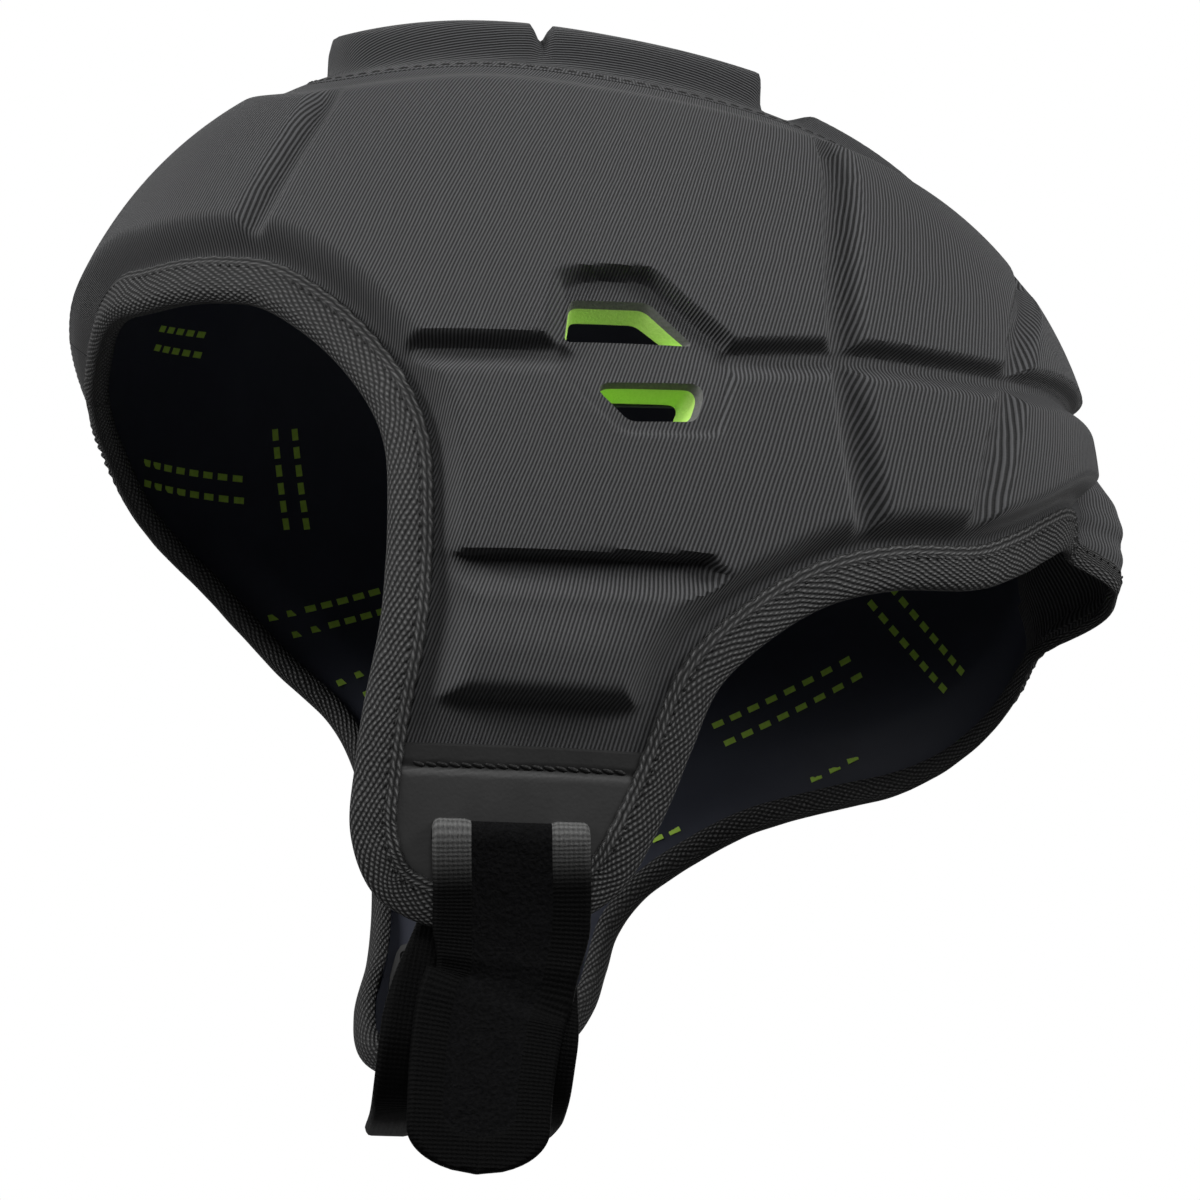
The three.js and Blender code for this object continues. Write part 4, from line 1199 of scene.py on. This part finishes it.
# Edge tape: section as inward, depth
TAPE_SECTION = [
    (TAPE_WIDTH, 4.3), (7.2, 4.05), (5.0, 3.95), (2.6, 4.05), (0.9, 4.5), (-0.2, 5.7), (-0.5, 7.6),
    (-0.3, 9.5), (0.4, 10.9), (1.4, 11.5), (2.6, 11.6), (3.4, 11.3), (3.4, 10.8), (2.5, 10.6), (1.7, 10.3),
    (1.4, 9.2), (1.4, 7.2), (1.8, 5.9), (3.6, 5.5), (6.2, 5.5), (8.1, 5.5), (8.7, 4.9),
]
TAPE_POINTS = 64
TAPE_OUTER = 3.95
TAPE_FOLD = 1.4
TAPE_INSIDE = (5.5, 10.3)
TAPE_RIPPLE = {"waves": (37, 23, 14, 9), "height": 0.07, "fades": (5.0, 9.0)}
TAPE_ZIGZAG = {"pitch": 1.5, "height": 0.16, "reach": (0.2, 1.4)}
TAB_LEG = 1.4
TAB_LEG_Z = (-82.0, -64.0)
BACK_NARROWS = 0.55
BACK_NARROWS_SIDE = (13.0, 24.0)
GATHERS = [
    {"x": 19.0, "front": False, "reach": 9.0, "height": 0.5},
    {"x": -19.0, "front": False, "reach": 9.0, "height": 0.5},
    {"x": -26.0, "front": True, "reach": 17.0, "height": 0.4},
]
GATHER_PITCH = 3.1
GATHER_SLANT = 0.8
GATHER_FULL = 2.0


def tape_line(inward, depth, wave_in=0.0, wave_out=0.0):
    """Places along the rim for one point of the tape's section."""
    behind = rim_loop[:, 1] > 0
    brow = brow_share(rim_loop)
    inside = 1 - fall(depth, *TAPE_INSIDE)
    sink = BROW_SINK * brow * (1 - inside) + (BROW_INNER * brow - PINCH * (1 - brow)) * inside
    over_tab = TAB_LEG * fall(rim_loop[:, 2], *TAB_LEG_Z) * inside
    narrow = np.where(behind, BACK_NARROWS * fall(np.abs(rim_loop[:, 0]), *BACK_NARROWS_SIDE), 0)
    width = TAPE_FOLD + (inward - TAPE_FOLD) * (1 - narrow) if inward > TAPE_FOLD else inward
    lies = depth + sink + over_tab
    thin = BACK_EDGE["outer"] + (lies - TAPE_OUTER) * BACK_EDGE["share"]
    lies = lies + (thin - lies) * back_edge(rim_loop)
    return rim_at(width + wave_in, lies - RIM_FLARE * back_bulge(rim_loop) + wave_out)


def rim_tape():
    section = smooth_line(np.array(TAPE_SECTION), TAPE_POINTS, closed=True)
    along = lengths(np.concatenate([rim_loop, rim_loop[:1]]))[:-1]
    across = lengths(np.concatenate([section, section[:1]]))[:-1]
    rng = np.random.default_rng(7)
    ripple = np.zeros(len(rim_loop))
    for length in TAPE_RIPPLE["waves"]:
        ripple += rng.uniform(0.4, 1.0) * np.sin(along * 2 * math.pi / length + rng.uniform(0, 6))
    ripple *= TAPE_RIPPLE["height"]
    gather = np.zeros(len(rim_loop))
    for g in GATHERS:
        here = (rim_loop[:, 1] < 0) == g["front"]
        gather += here * g["height"] * fall(np.abs(rim_loop[:, 0] - g["x"]), GATHER_FULL, g["reach"])
    rows = []
    for inward, depth in section:
        zigzag = TAPE_ZIGZAG["height"] * np.sin(along * 2 * math.pi / TAPE_ZIGZAG["pitch"])
        zigzag = zigzag * fall(TAPE_WIDTH - inward, *TAPE_ZIGZAG["reach"])
        fold = gather * np.sin((along + GATHER_SLANT * inward) * 2 * math.pi / GATHER_PITCH)
        rows.append(tape_line(inward, depth, zigzag, (fold - ripple) * fall(depth, *TAPE_RIPPLE["fades"])))
    rings = np.stack(rows, 1)
    faces = swept(rings, closed_length=True)
    u, v = np.meshgrid(along, across, indexing="ij")
    cloth = np.stack([u.ravel(), v.ravel()], 1)
    piece = make_piece("rim_tape", rings.reshape(-1, 3), faces, [TAPE], cloth=cloth, crease=60)
    return outward_faces(piece)


# Faux-leather tab pieces
STITCH_DROP = 3.9
TAB_STEP = 0.3
TAB_CORNER = 3.5
TAB_MIDDLE = (-4, -88)
TAB_UNDER_TAPE = 4.6
FACING_SINK = {"depth": 1.0, "reach": (7.0, 8.9)}
FACING_FOLD = {"shoulder": 0.15, "above": 0.3, "below": 1.2, "thick": 0.9}
STITCH_GROOVE = {"depth": 0.45, "reach": (0.35, 1.0)}
BACKING_LIFT = {"height": 2.9, "reach": (5.0, 13.0)}


def tab_facing(side, table, layer, name, outer):
    top = max(z for _, z in table)
    outline = rounded(table, TAB_CORNER, 4)
    outline = grow_from(outline, np.array(TAB_MIDDLE), TAB_UNDER_TAPE)
    outline[:, 1] = np.minimum(outline[:, 1], top)
    outline = filled_in(outline, 0.8)
    edge = side_angles(on_side(outline, side, FLANGE), side)
    low = edge.min(0) - 1
    high = edge.max(0) + 1
    holes = [side_angles(on_side(slot_outline, side, FLANGE), side)] if side > 0 else []
    seed = edge.mean(0) + (0, 8)
    places, faces, border, _ = cut_patch(
        *(grid_lines(a, b, TAB_STEP) for a, b in zip(low, high)), [edge], holes, seed)
    direction = side_direction(places, side)
    p = on_shell(direction, FLANGE)
    below_top = top - p[:, 2]
    from_rim = distance_to_line(p, on_shell(RIM_LINES[side], FLANGE))
    if outer:
        sink = FACING_SINK["depth"] * fall(from_rim, *FACING_SINK["reach"])
        ends = (STITCH_DROP - FACING_FOLD["above"], STITCH_DROP + FACING_FOLD["below"])
        shoulder = FACING_FOLD["shoulder"] * fall(below_top, *ends)
        groove = STITCH_GROOVE["depth"] * fall(np.abs(below_top - STITCH_DROP), *STITCH_GROOVE["reach"])
        depths = [layer[0] + shoulder + groove + sink, layer[1] + FACING_FOLD["thick"] + sink]
    else:
        lift = BACKING_LIFT["height"] * fall(from_rim, *BACKING_LIFT["reach"])
        depths = [depth - lift for depth in layer]
    points = np.concatenate([on_shell(direction, depth) for depth in depths])
    walls, _ = closed_wall(faces, border, len(places))
    if side < 0:
        walls = walls[:, ::-1]
    cloth = np.tile(places * MM_PER_DEGREE, (2, 1))
    fold = outer * (np.tile(below_top, 2)[walls].mean(1) < STITCH_DROP)
    return make_piece(name, points, walls, [LEATHER, LEATHER_FOLD], fold, cloth, crease=50)


# Chin strap
def strap_path():
    """From the sewn end in the right tab, under the chin, out through the left slot and down to the tip."""

    def inside(side, y, z, out=0.0):
        return (side * (float(wall_x(y, z, STRAP_INSIDE)) + out), y, z)

    def outside(y, z, out=0.0):
        return (float(wall_x(y, z, STRAP_OUTSIDE)) + out, y, z)

    return [
        inside(-1, -6, -80), inside(-1, -6, -90), inside(-1, -6, -100), (-52, -6.4, -109),
        (-45, -7.2, -116.5), (-30, -8.5, -125), (-5, -10, -133), (20, -10.2, -138), (38, -10, -140),
        (49, -9.8, -138.5), (54.2, -9.2, -132), (55.4, -8.2, -123), (55, -6.8, -114), inside(1, -5.6, -106),
        inside(1, -4.9, -99), inside(1, -4.5, -95, 0.8), inside(1, -4.5, -93.2, 3),
        outside(-4.5, -93.2, -2.4), outside(-4.5, -94.6, -0.3), outside(-4.3, -98.5), outside(-3.8, -107),
        (61, -4, -115), (60, -4.7, -121), (59, -6.2, -126), (58, -7.7, -138), (56.5, -8.2, -156),
    ]


STRAP_SECTIONS = 420
EDGE_SHARE = 0.49
EDGE_POINTS = 10
PILE_POINTS = 22
CREASE_RISE = {"height": 1.1, "reach": (0.5, 5.0)}
CHIN_Z = {"right": (-136.0, -112.0), "left": (-130.0, -104.0)}
SLOT_RUN = 12.0
EDGE_LIFT = 0.4
NARROWS_FROM_TIP = (37.0, 47.0)
TIP_FROM_TIP = (8.0, 34.0)


def strap_frame():
    """Places along the strap's middle and how far along they are, its directions across and outward, and its
    half width with the tip drawn round and before that.
    """
    path = smooth_line(strap_path(), STRAP_SECTIONS)
    at = lengths(path)
    total = at[-1]
    along = unit(np.gradient(path, axis=0))
    across = unit(np.array([0.0, 1.0, 0.0]) - along * along[:, 1:2])
    out = np.cross(across, along)
    tip = total - at
    crease = CREASE_RISE["height"] * fall(np.abs(tip - CREASE), *CREASE_RISE["reach"])
    path = path + out * crease[:, None]
    step_out = CREASE_STEP * fall(tip, CREASE - 1, CREASE + 1)
    path = path - across * step_out[:, None]
    before_slot = at < total - FREE_END - SLOT_RUN
    chin = np.where(before_slot, fall(path[:, 2], *CHIN_Z["right"]), 0)
    chin = np.where(before_slot & (path[:, 0] > 0), fall(path[:, 2], *CHIN_Z["left"]), chin)
    half = (STRAP_WIDTH + (STRAP_CHIN_WIDTH - STRAP_WIDTH) * chin) / 2
    less = STRAP_NARROWS / 2 * fall(tip, *NARROWS_FROM_TIP) + TIP_NARROWS / 2 * fall(tip, *TIP_FROM_TIP)
    half = half - np.where(before_slot, 0, less)
    whole = half + step_out
    half = np.maximum(whole * np.sqrt(1 - np.clip(1 - tip / TIP_ROUND, 0, 1) ** 2), 0.8)
    return path, at, across, out, half, whole


def strap_section(half, inner):
    """Across and outward places round the band, for one half width and the half width of its pile."""
    thick = STRAP_THICKNESS / 2
    edge = half - inner
    band = half - edge * np.linspace(0, 1, EDGE_POINTS, endpoint=False) ** 1.6
    y = np.concatenate([-band, np.linspace(-inner, inner, PILE_POINTS), band[::-1]])
    from_edge = half - np.abs(y)
    lift = EDGE_LIFT * fall(np.abs(from_edge - edge / 2), edge / 2 - 0.8, edge / 2 + 0.3)
    roll = thick * np.sqrt(np.clip(1 - np.clip(1 - from_edge / thick, 0, 1) ** 2, 0, 1))
    top = np.stack([y, np.maximum(roll, 0.05) + lift], 1)
    bottom = np.stack([y, -np.maximum(roll, 0.05) - lift], 1)[::-1]
    return np.concatenate([top, bottom])


def chin_strap():
    path, at, across, out, half, whole = strap_frame()
    tip = at[-1] - at
    ends = np.sqrt(1 - np.clip(1 - (tip - TIP_EDGE) / TIP_PILE_ROUND, 0, 1) ** 2)
    inner = np.maximum(whole * (1 - EDGE_SHARE) * ends, 0.12)
    inner = np.minimum(inner, half - 0.5)
    rings = []
    cloth = []
    for i in range(len(path)):
        section = strap_section(half[i], inner[i])
        rings.append(path[i] + section[:, :1] * across[i] + section[:, 1:] * out[i])
        cloth.append(np.stack([np.full(len(section), FREE_END - tip[i]), section[:, 0]], 1))
    rings = np.stack(rings)
    faces = swept(rings, closed_length=False, caps=True)
    quads = np.array(faces[:-2])
    cloth = np.concatenate(cloth)
    ring, column = np.divmod(quads[:, 0], rings.shape[1])
    column = np.minimum(column, rings.shape[1] - 2 - column)
    on_pile = (column >= EDGE_POINTS) & (column < EDGE_POINTS + PILE_POINTS - 1) & (tip[ring] > TIP_EDGE)
    index = np.concatenate([np.where(on_pile, 0, 1), [1, 1]])
    piece = make_piece("strap_band", rings.reshape(-1, 3), faces, [PILE, EDGE], index, cloth, crease=60)
    return outward_faces(piece)


# Print on the lining: pairs of rows of short dashes. Each pair's middle in the side map in millimetres, its
# turn in degrees and its number of dashes.
PRINT_GROUPS = [
    (-84, 31, 9, 8), (-55, 39, -78, 6), (-43, 6, 23, 7), (-33, -11, 28, 3), (-97, 65, 7, 5),
    (-26, 56, -49, 5), (70, -16, 26, 8), (99, -6, -60, 8), (79, -36, 20, 3), (40, -51, 27, 3),
    (66, 30, 72, 7), (20, 42, 10, 7),
]
PRINT_PITCH = 4.4
PRINT_ROW = 5.4
PRINT_DASH = (2.7, 1.5, 0.12)
PRINT_LIFT = 0.04
PRINT_CLEAR = {"rim": 7.0, "hole": 4.0}


def on_lining(direction):
    """Places on the lining's face."""
    depth = LINING[1] + PRINT_LIFT + lining_shift(on_shell(direction, LINING[0]))
    return on_shell(direction, depth)


def lining_print():
    places = []
    ways = []
    clear = crown_angles(rim_at(PRINT_CLEAR["rim"], LINING[1]))
    for side in (1, -1):
        for a, b, turn, dashes in PRINT_GROUPS:
            along = np.array([math.cos(math.radians(turn)), math.sin(math.radians(turn))])
            across = np.array([-along[1], along[0]])
            x = (np.arange(dashes) - (dashes - 1) / 2) * PRINT_PITCH
            for row in (-0.5, 0.5):
                uv = (np.array([a, b]) + x[:, None] * along + row * PRINT_ROW * across) / MM_PER_DEGREE
                p, q = (on_lining(side_direction(w, side)) for w in (uv, uv + along * 0.5))
                good = inside_outline(crown_angles(p), clear)
                for hole in (*vent_outlines, slot_outline):
                    good &= outline_distance(p[:, 1:], hole) > PRINT_CLEAR["hole"]
                places.append(p[good])
                ways.append(unit(q - p)[good])
    places = np.concatenate(places)
    ways = np.concatenate(ways)
    facing = -normal_at(places, LINING[1])
    return repeated("lining_print", "dash", places, ways, facing, PRINT_DASH, INK)


# Thread: a stitch's length, width and height, the pitch of the stitches and how far in from the edge they are
TAPE_STITCH = {"size": (1.1, 0.55, 0.4), "pitch": 2.35, "inward": 6.2}
CROWN_STITCH = {"size": (2.1, 0.6, 0.45), "pitch": 2.9, "inward": 1.6}
FACING_STITCH = {"size": (2.5, 1.0, 0.9), "pitch": 2.05, "slant": 0.3}
STRAP_STITCH = {"size": (1.3, 0.4, 0.35), "pitch": 2.0, "past_pile": 1.0}


def tape_thread():
    line = tape_line(TAPE_STITCH["inward"], TAPE_OUTER)
    places, along = run_of_places(line, TAPE_STITCH["pitch"], closed=True)
    facing = normal_at(places, 4)
    return repeated("tape_thread", "stitch", places, along, facing, TAPE_STITCH["size"], NEEDLE_HOLE)


def crown_thread():
    line = on_dome(smooth_seam(-CROWN_STITCH["inward"]), SEAM_DEPTH - 0.05)
    places, along = run_of_places(line, CROWN_STITCH["pitch"], closed=True)
    facing = normal_at(places, SEAM_DEPTH)
    return repeated("crown_thread", "stitch", places, along, facing, CROWN_STITCH["size"], THREAD)


def facing_thread(side, table, name):
    top = max(z for _, z in table)
    ys = np.array([y for y, z in table if z > top - 1.5])
    y = np.linspace(ys.min() + 0.8, ys.max() - 1.4, 60)
    z = np.full(60, top - STITCH_DROP)
    line = np.stack([side * wall_x(y, z, FACING[0] + 0.5), y, z], 1)
    places, along = run_of_places(line, FACING_STITCH["pitch"])
    along = unit(along - (0, 0, FACING_STITCH["slant"]))
    facing = normal_at(places, FACING[0])
    return repeated(name, "stitch", places, along, facing, FACING_STITCH["size"], NEEDLE_HOLE)


def strap_thread():
    path, at, across, out, _, whole = strap_frame()
    runs = []
    for side in (-1, 1):
        offset = whole * (1 - EDGE_SHARE) + STRAP_STITCH["past_pile"]
        line = path + across * (side * offset)[:, None] + out * (STRAP_THICKNESS / 2 + 0.26)
        keep = (at > at[-1] - FREE_END + 2) & (at < at[-1] - 12)
        p, way = run_of_places(line[keep], STRAP_STITCH["pitch"])
        near = np.argmin(((p[:, None] - line[None]) ** 2).sum(2), axis=1)
        runs.append((p, way, out[near]))
    places, ways, facing = (np.concatenate(column) for column in zip(*runs))
    return repeated("strap_thread", "stitch", places, ways, facing, STRAP_STITCH["size"], THREAD)


# Loops standing on the strap's face
PILE_COUNT = 6500
PILE_LOOP = (0.8, 0.5, 0.8)
PILE_LEAN = 0.45


def strap_loops():
    path, at, across, out, _, whole = strap_frame()
    rng = np.random.default_rng(3)
    s = rng.uniform(at[-1] - FREE_END - 2, at[-1] - TIP_EDGE - 2, PILE_COUNT)
    rows = (np.stack([np.interp(s, at, row[:, k]) for k in range(3)], 1) for row in (path, across, out))
    middle, side, up = rows
    side = unit(side)
    up = unit(up)
    room = np.interp(s, at, whole) * (1 - EDGE_SHARE) + 0.2
    y = rng.uniform(-1, 1, PILE_COUNT) * room
    places = middle + side * y[:, None] + up * (STRAP_THICKNESS / 2)
    lean = rng.normal(0, PILE_LEAN, (PILE_COUNT, 3))
    facing = unit(up + lean)
    way = np.cross(facing, rng.normal(0, 1, (PILE_COUNT, 3)))
    return repeated("strap_loops", "loop", places, unit(way), facing, PILE_LOOP, PILE)


# Camera at the photograph's place
CAMERA = {"azimuth": 85.1, "elevation": -21.9, "roll": 0.4, "distance": 0.768, "lens": 108.5}
TARGET = np.array([0, 17.7, -19.0])


def photo_camera():
    az, el, roll = (math.radians(CAMERA[k]) for k in ("azimuth", "elevation", "roll"))
    back = np.array([math.sin(az) * math.cos(el), -math.cos(az) * math.cos(el), math.sin(el)])
    right = unit(np.cross(-back, [0, 0, 1]))
    up = np.cross(right, -back)
    right, up = right * math.cos(roll) + up * math.sin(roll), up * math.cos(roll) - right * math.sin(roll)
    data = bpy.data.cameras.new("photo_camera")
    data.lens = CAMERA["lens"]
    data.sensor_width = 36
    data.clip_start = 0.01
    camera = linked("photo_camera", data)
    turn_to(camera, (right, up, back), to_frame(TARGET) + back * CAMERA["distance"])
    bpy.context.scene.camera = camera


# Studio: each light's name, place and size in metres, and power in watts
LIGHTS = [
    ("key", (0.40, -1.02, 0.36), 0.5, 1.06),
    ("front", (1.09, -0.02, 0.28), 0.45, 0.55),
    ("back", (0.61, 0.90, 0.40), 0.5, 0.90),
]
LIGHT_SPREAD = 50.0
LIT_PLACE = (0, 10, -60)
SKY = (0.010, 0.05)
SKY_HEIGHT = (-0.1, 0.2)
BACKDROP = (-0.924, 0.079, 0.373)
BACKDROP_EDGE = (0.82, 0.96)
BACKDROP_STRENGTH = 1.2
FLOOR_Z = -0.62
FLOOR_REACH = 6.0


def studio():
    scene = bpy.context.scene
    scene.view_settings.view_transform = "Standard"
    world = bpy.data.worlds.new("studio")
    scene.world = world
    world.use_nodes = True
    tree = world.node_tree
    tree.nodes.clear()
    sky = wire(tree, "ShaderNodeTexCoord").outputs["Generated"]
    height = wire(tree, "ShaderNodeSeparateXYZ", links={"Vector": sky}).outputs["Z"]
    rise = mapped(tree, height, *SKY_HEIGHT, *SKY)
    facing = wire(tree, "ShaderNodeVectorMath", {1: BACKDROP}, {0: sky}, operation="DOT_PRODUCT")
    sheet = mapped(tree, facing.outputs["Value"], *BACKDROP_EDGE, 0.0, BACKDROP_STRENGTH, smooth=True)
    shade = wire(tree, "ShaderNodeBackground", links={"Strength": plus(tree, rise, sheet)})
    wire(tree, "ShaderNodeOutputWorld", links={"Surface": shade.outputs[0]})
    mesh = bpy.data.meshes.new("floor")
    corners = [(x * FLOOR_REACH, y * FLOOR_REACH, FLOOR_Z) for x, y in ((-1, -1), (1, -1), (1, 1), (-1, 1))]
    mesh.from_pydata(corners, [], [(0, 1, 2, 3)])
    floor = linked("floor", mesh)
    material, _, _ = new_finish("pale_floor", Base_Color=(0.5, 0.5, 0.5, 1), Roughness=0.9)
    mesh.materials.append(material)
    centre = to_frame(LIT_PLACE)
    for name, place, size, power in LIGHTS:
        data = bpy.data.lights.new(name, "AREA")
        data.size = size
        data.spread = math.radians(LIGHT_SPREAD)
        data.energy = power
        back = unit(np.array(place) - centre)
        side = unit(np.cross([0.0, 1.0, 0.1], back))
        turn_to(linked(name, data), (side, np.cross(back, side), back), place)


photo_camera()
studio()

# Pieces
pads = {side: side_panel(side) for side in (1, -1)}
crown = crown_panel()
lining_piece = lining()
tape = rim_tape()
facing_left = tab_facing(1, FACING_LEFT, FACING, "left_tab_facing", True)
facing_right = tab_facing(-1, FACING_RIGHT, FACING, "right_tab_facing", True)
backing_left = tab_facing(1, FACING_LEFT, BACKING, "left_tab_backing", False)
backing_right = tab_facing(-1, FACING_RIGHT, BACKING, "right_tab_backing", False)
strap = chin_strap()
strip = back_strip()
print_dashes = lining_print()
tape_stitches = tape_thread()
stitches_left = facing_thread(1, FACING_LEFT, "left_facing_thread")
stitches_right = facing_thread(-1, FACING_RIGHT, "right_facing_thread")
strap_stitches = strap_thread()
loops = strap_loops()
extras = [
    (print_dashes, "lining_cloth"), (tape_stitches, "tape"), (crown_thread(), "knit"),
    (stitches_left, "faux_leather"), (stitches_right, "faux_leather"),
    (strap_stitches, "loop_pile"), (loops, "loop_pile"),
]

STANDS_FOR = [
    (pads[1], "side_panel_left", "knit"), (pads[-1], "side_panel_right", "knit"),
    (crown, "crown_panel", "knit"), (lining_piece, "lining", "lining_cloth"), (tape, "edge_binding", "tape"),
    (facing_left, "tab_facing_left", "faux_leather"), (facing_right, "tab_facing_right", "faux_leather"),
    (backing_left, "tab_backing_left", "faux_leather"), (backing_right, "tab_backing_right", "faux_leather"),
    (strap, "chin_strap", "loop_pile"), (strip, "back_panel", "knit"),
]
for piece, node, slot in STANDS_FOR:
    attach(piece, "root")
    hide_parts(node)
for piece, slot in extras:
    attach(piece, "root")
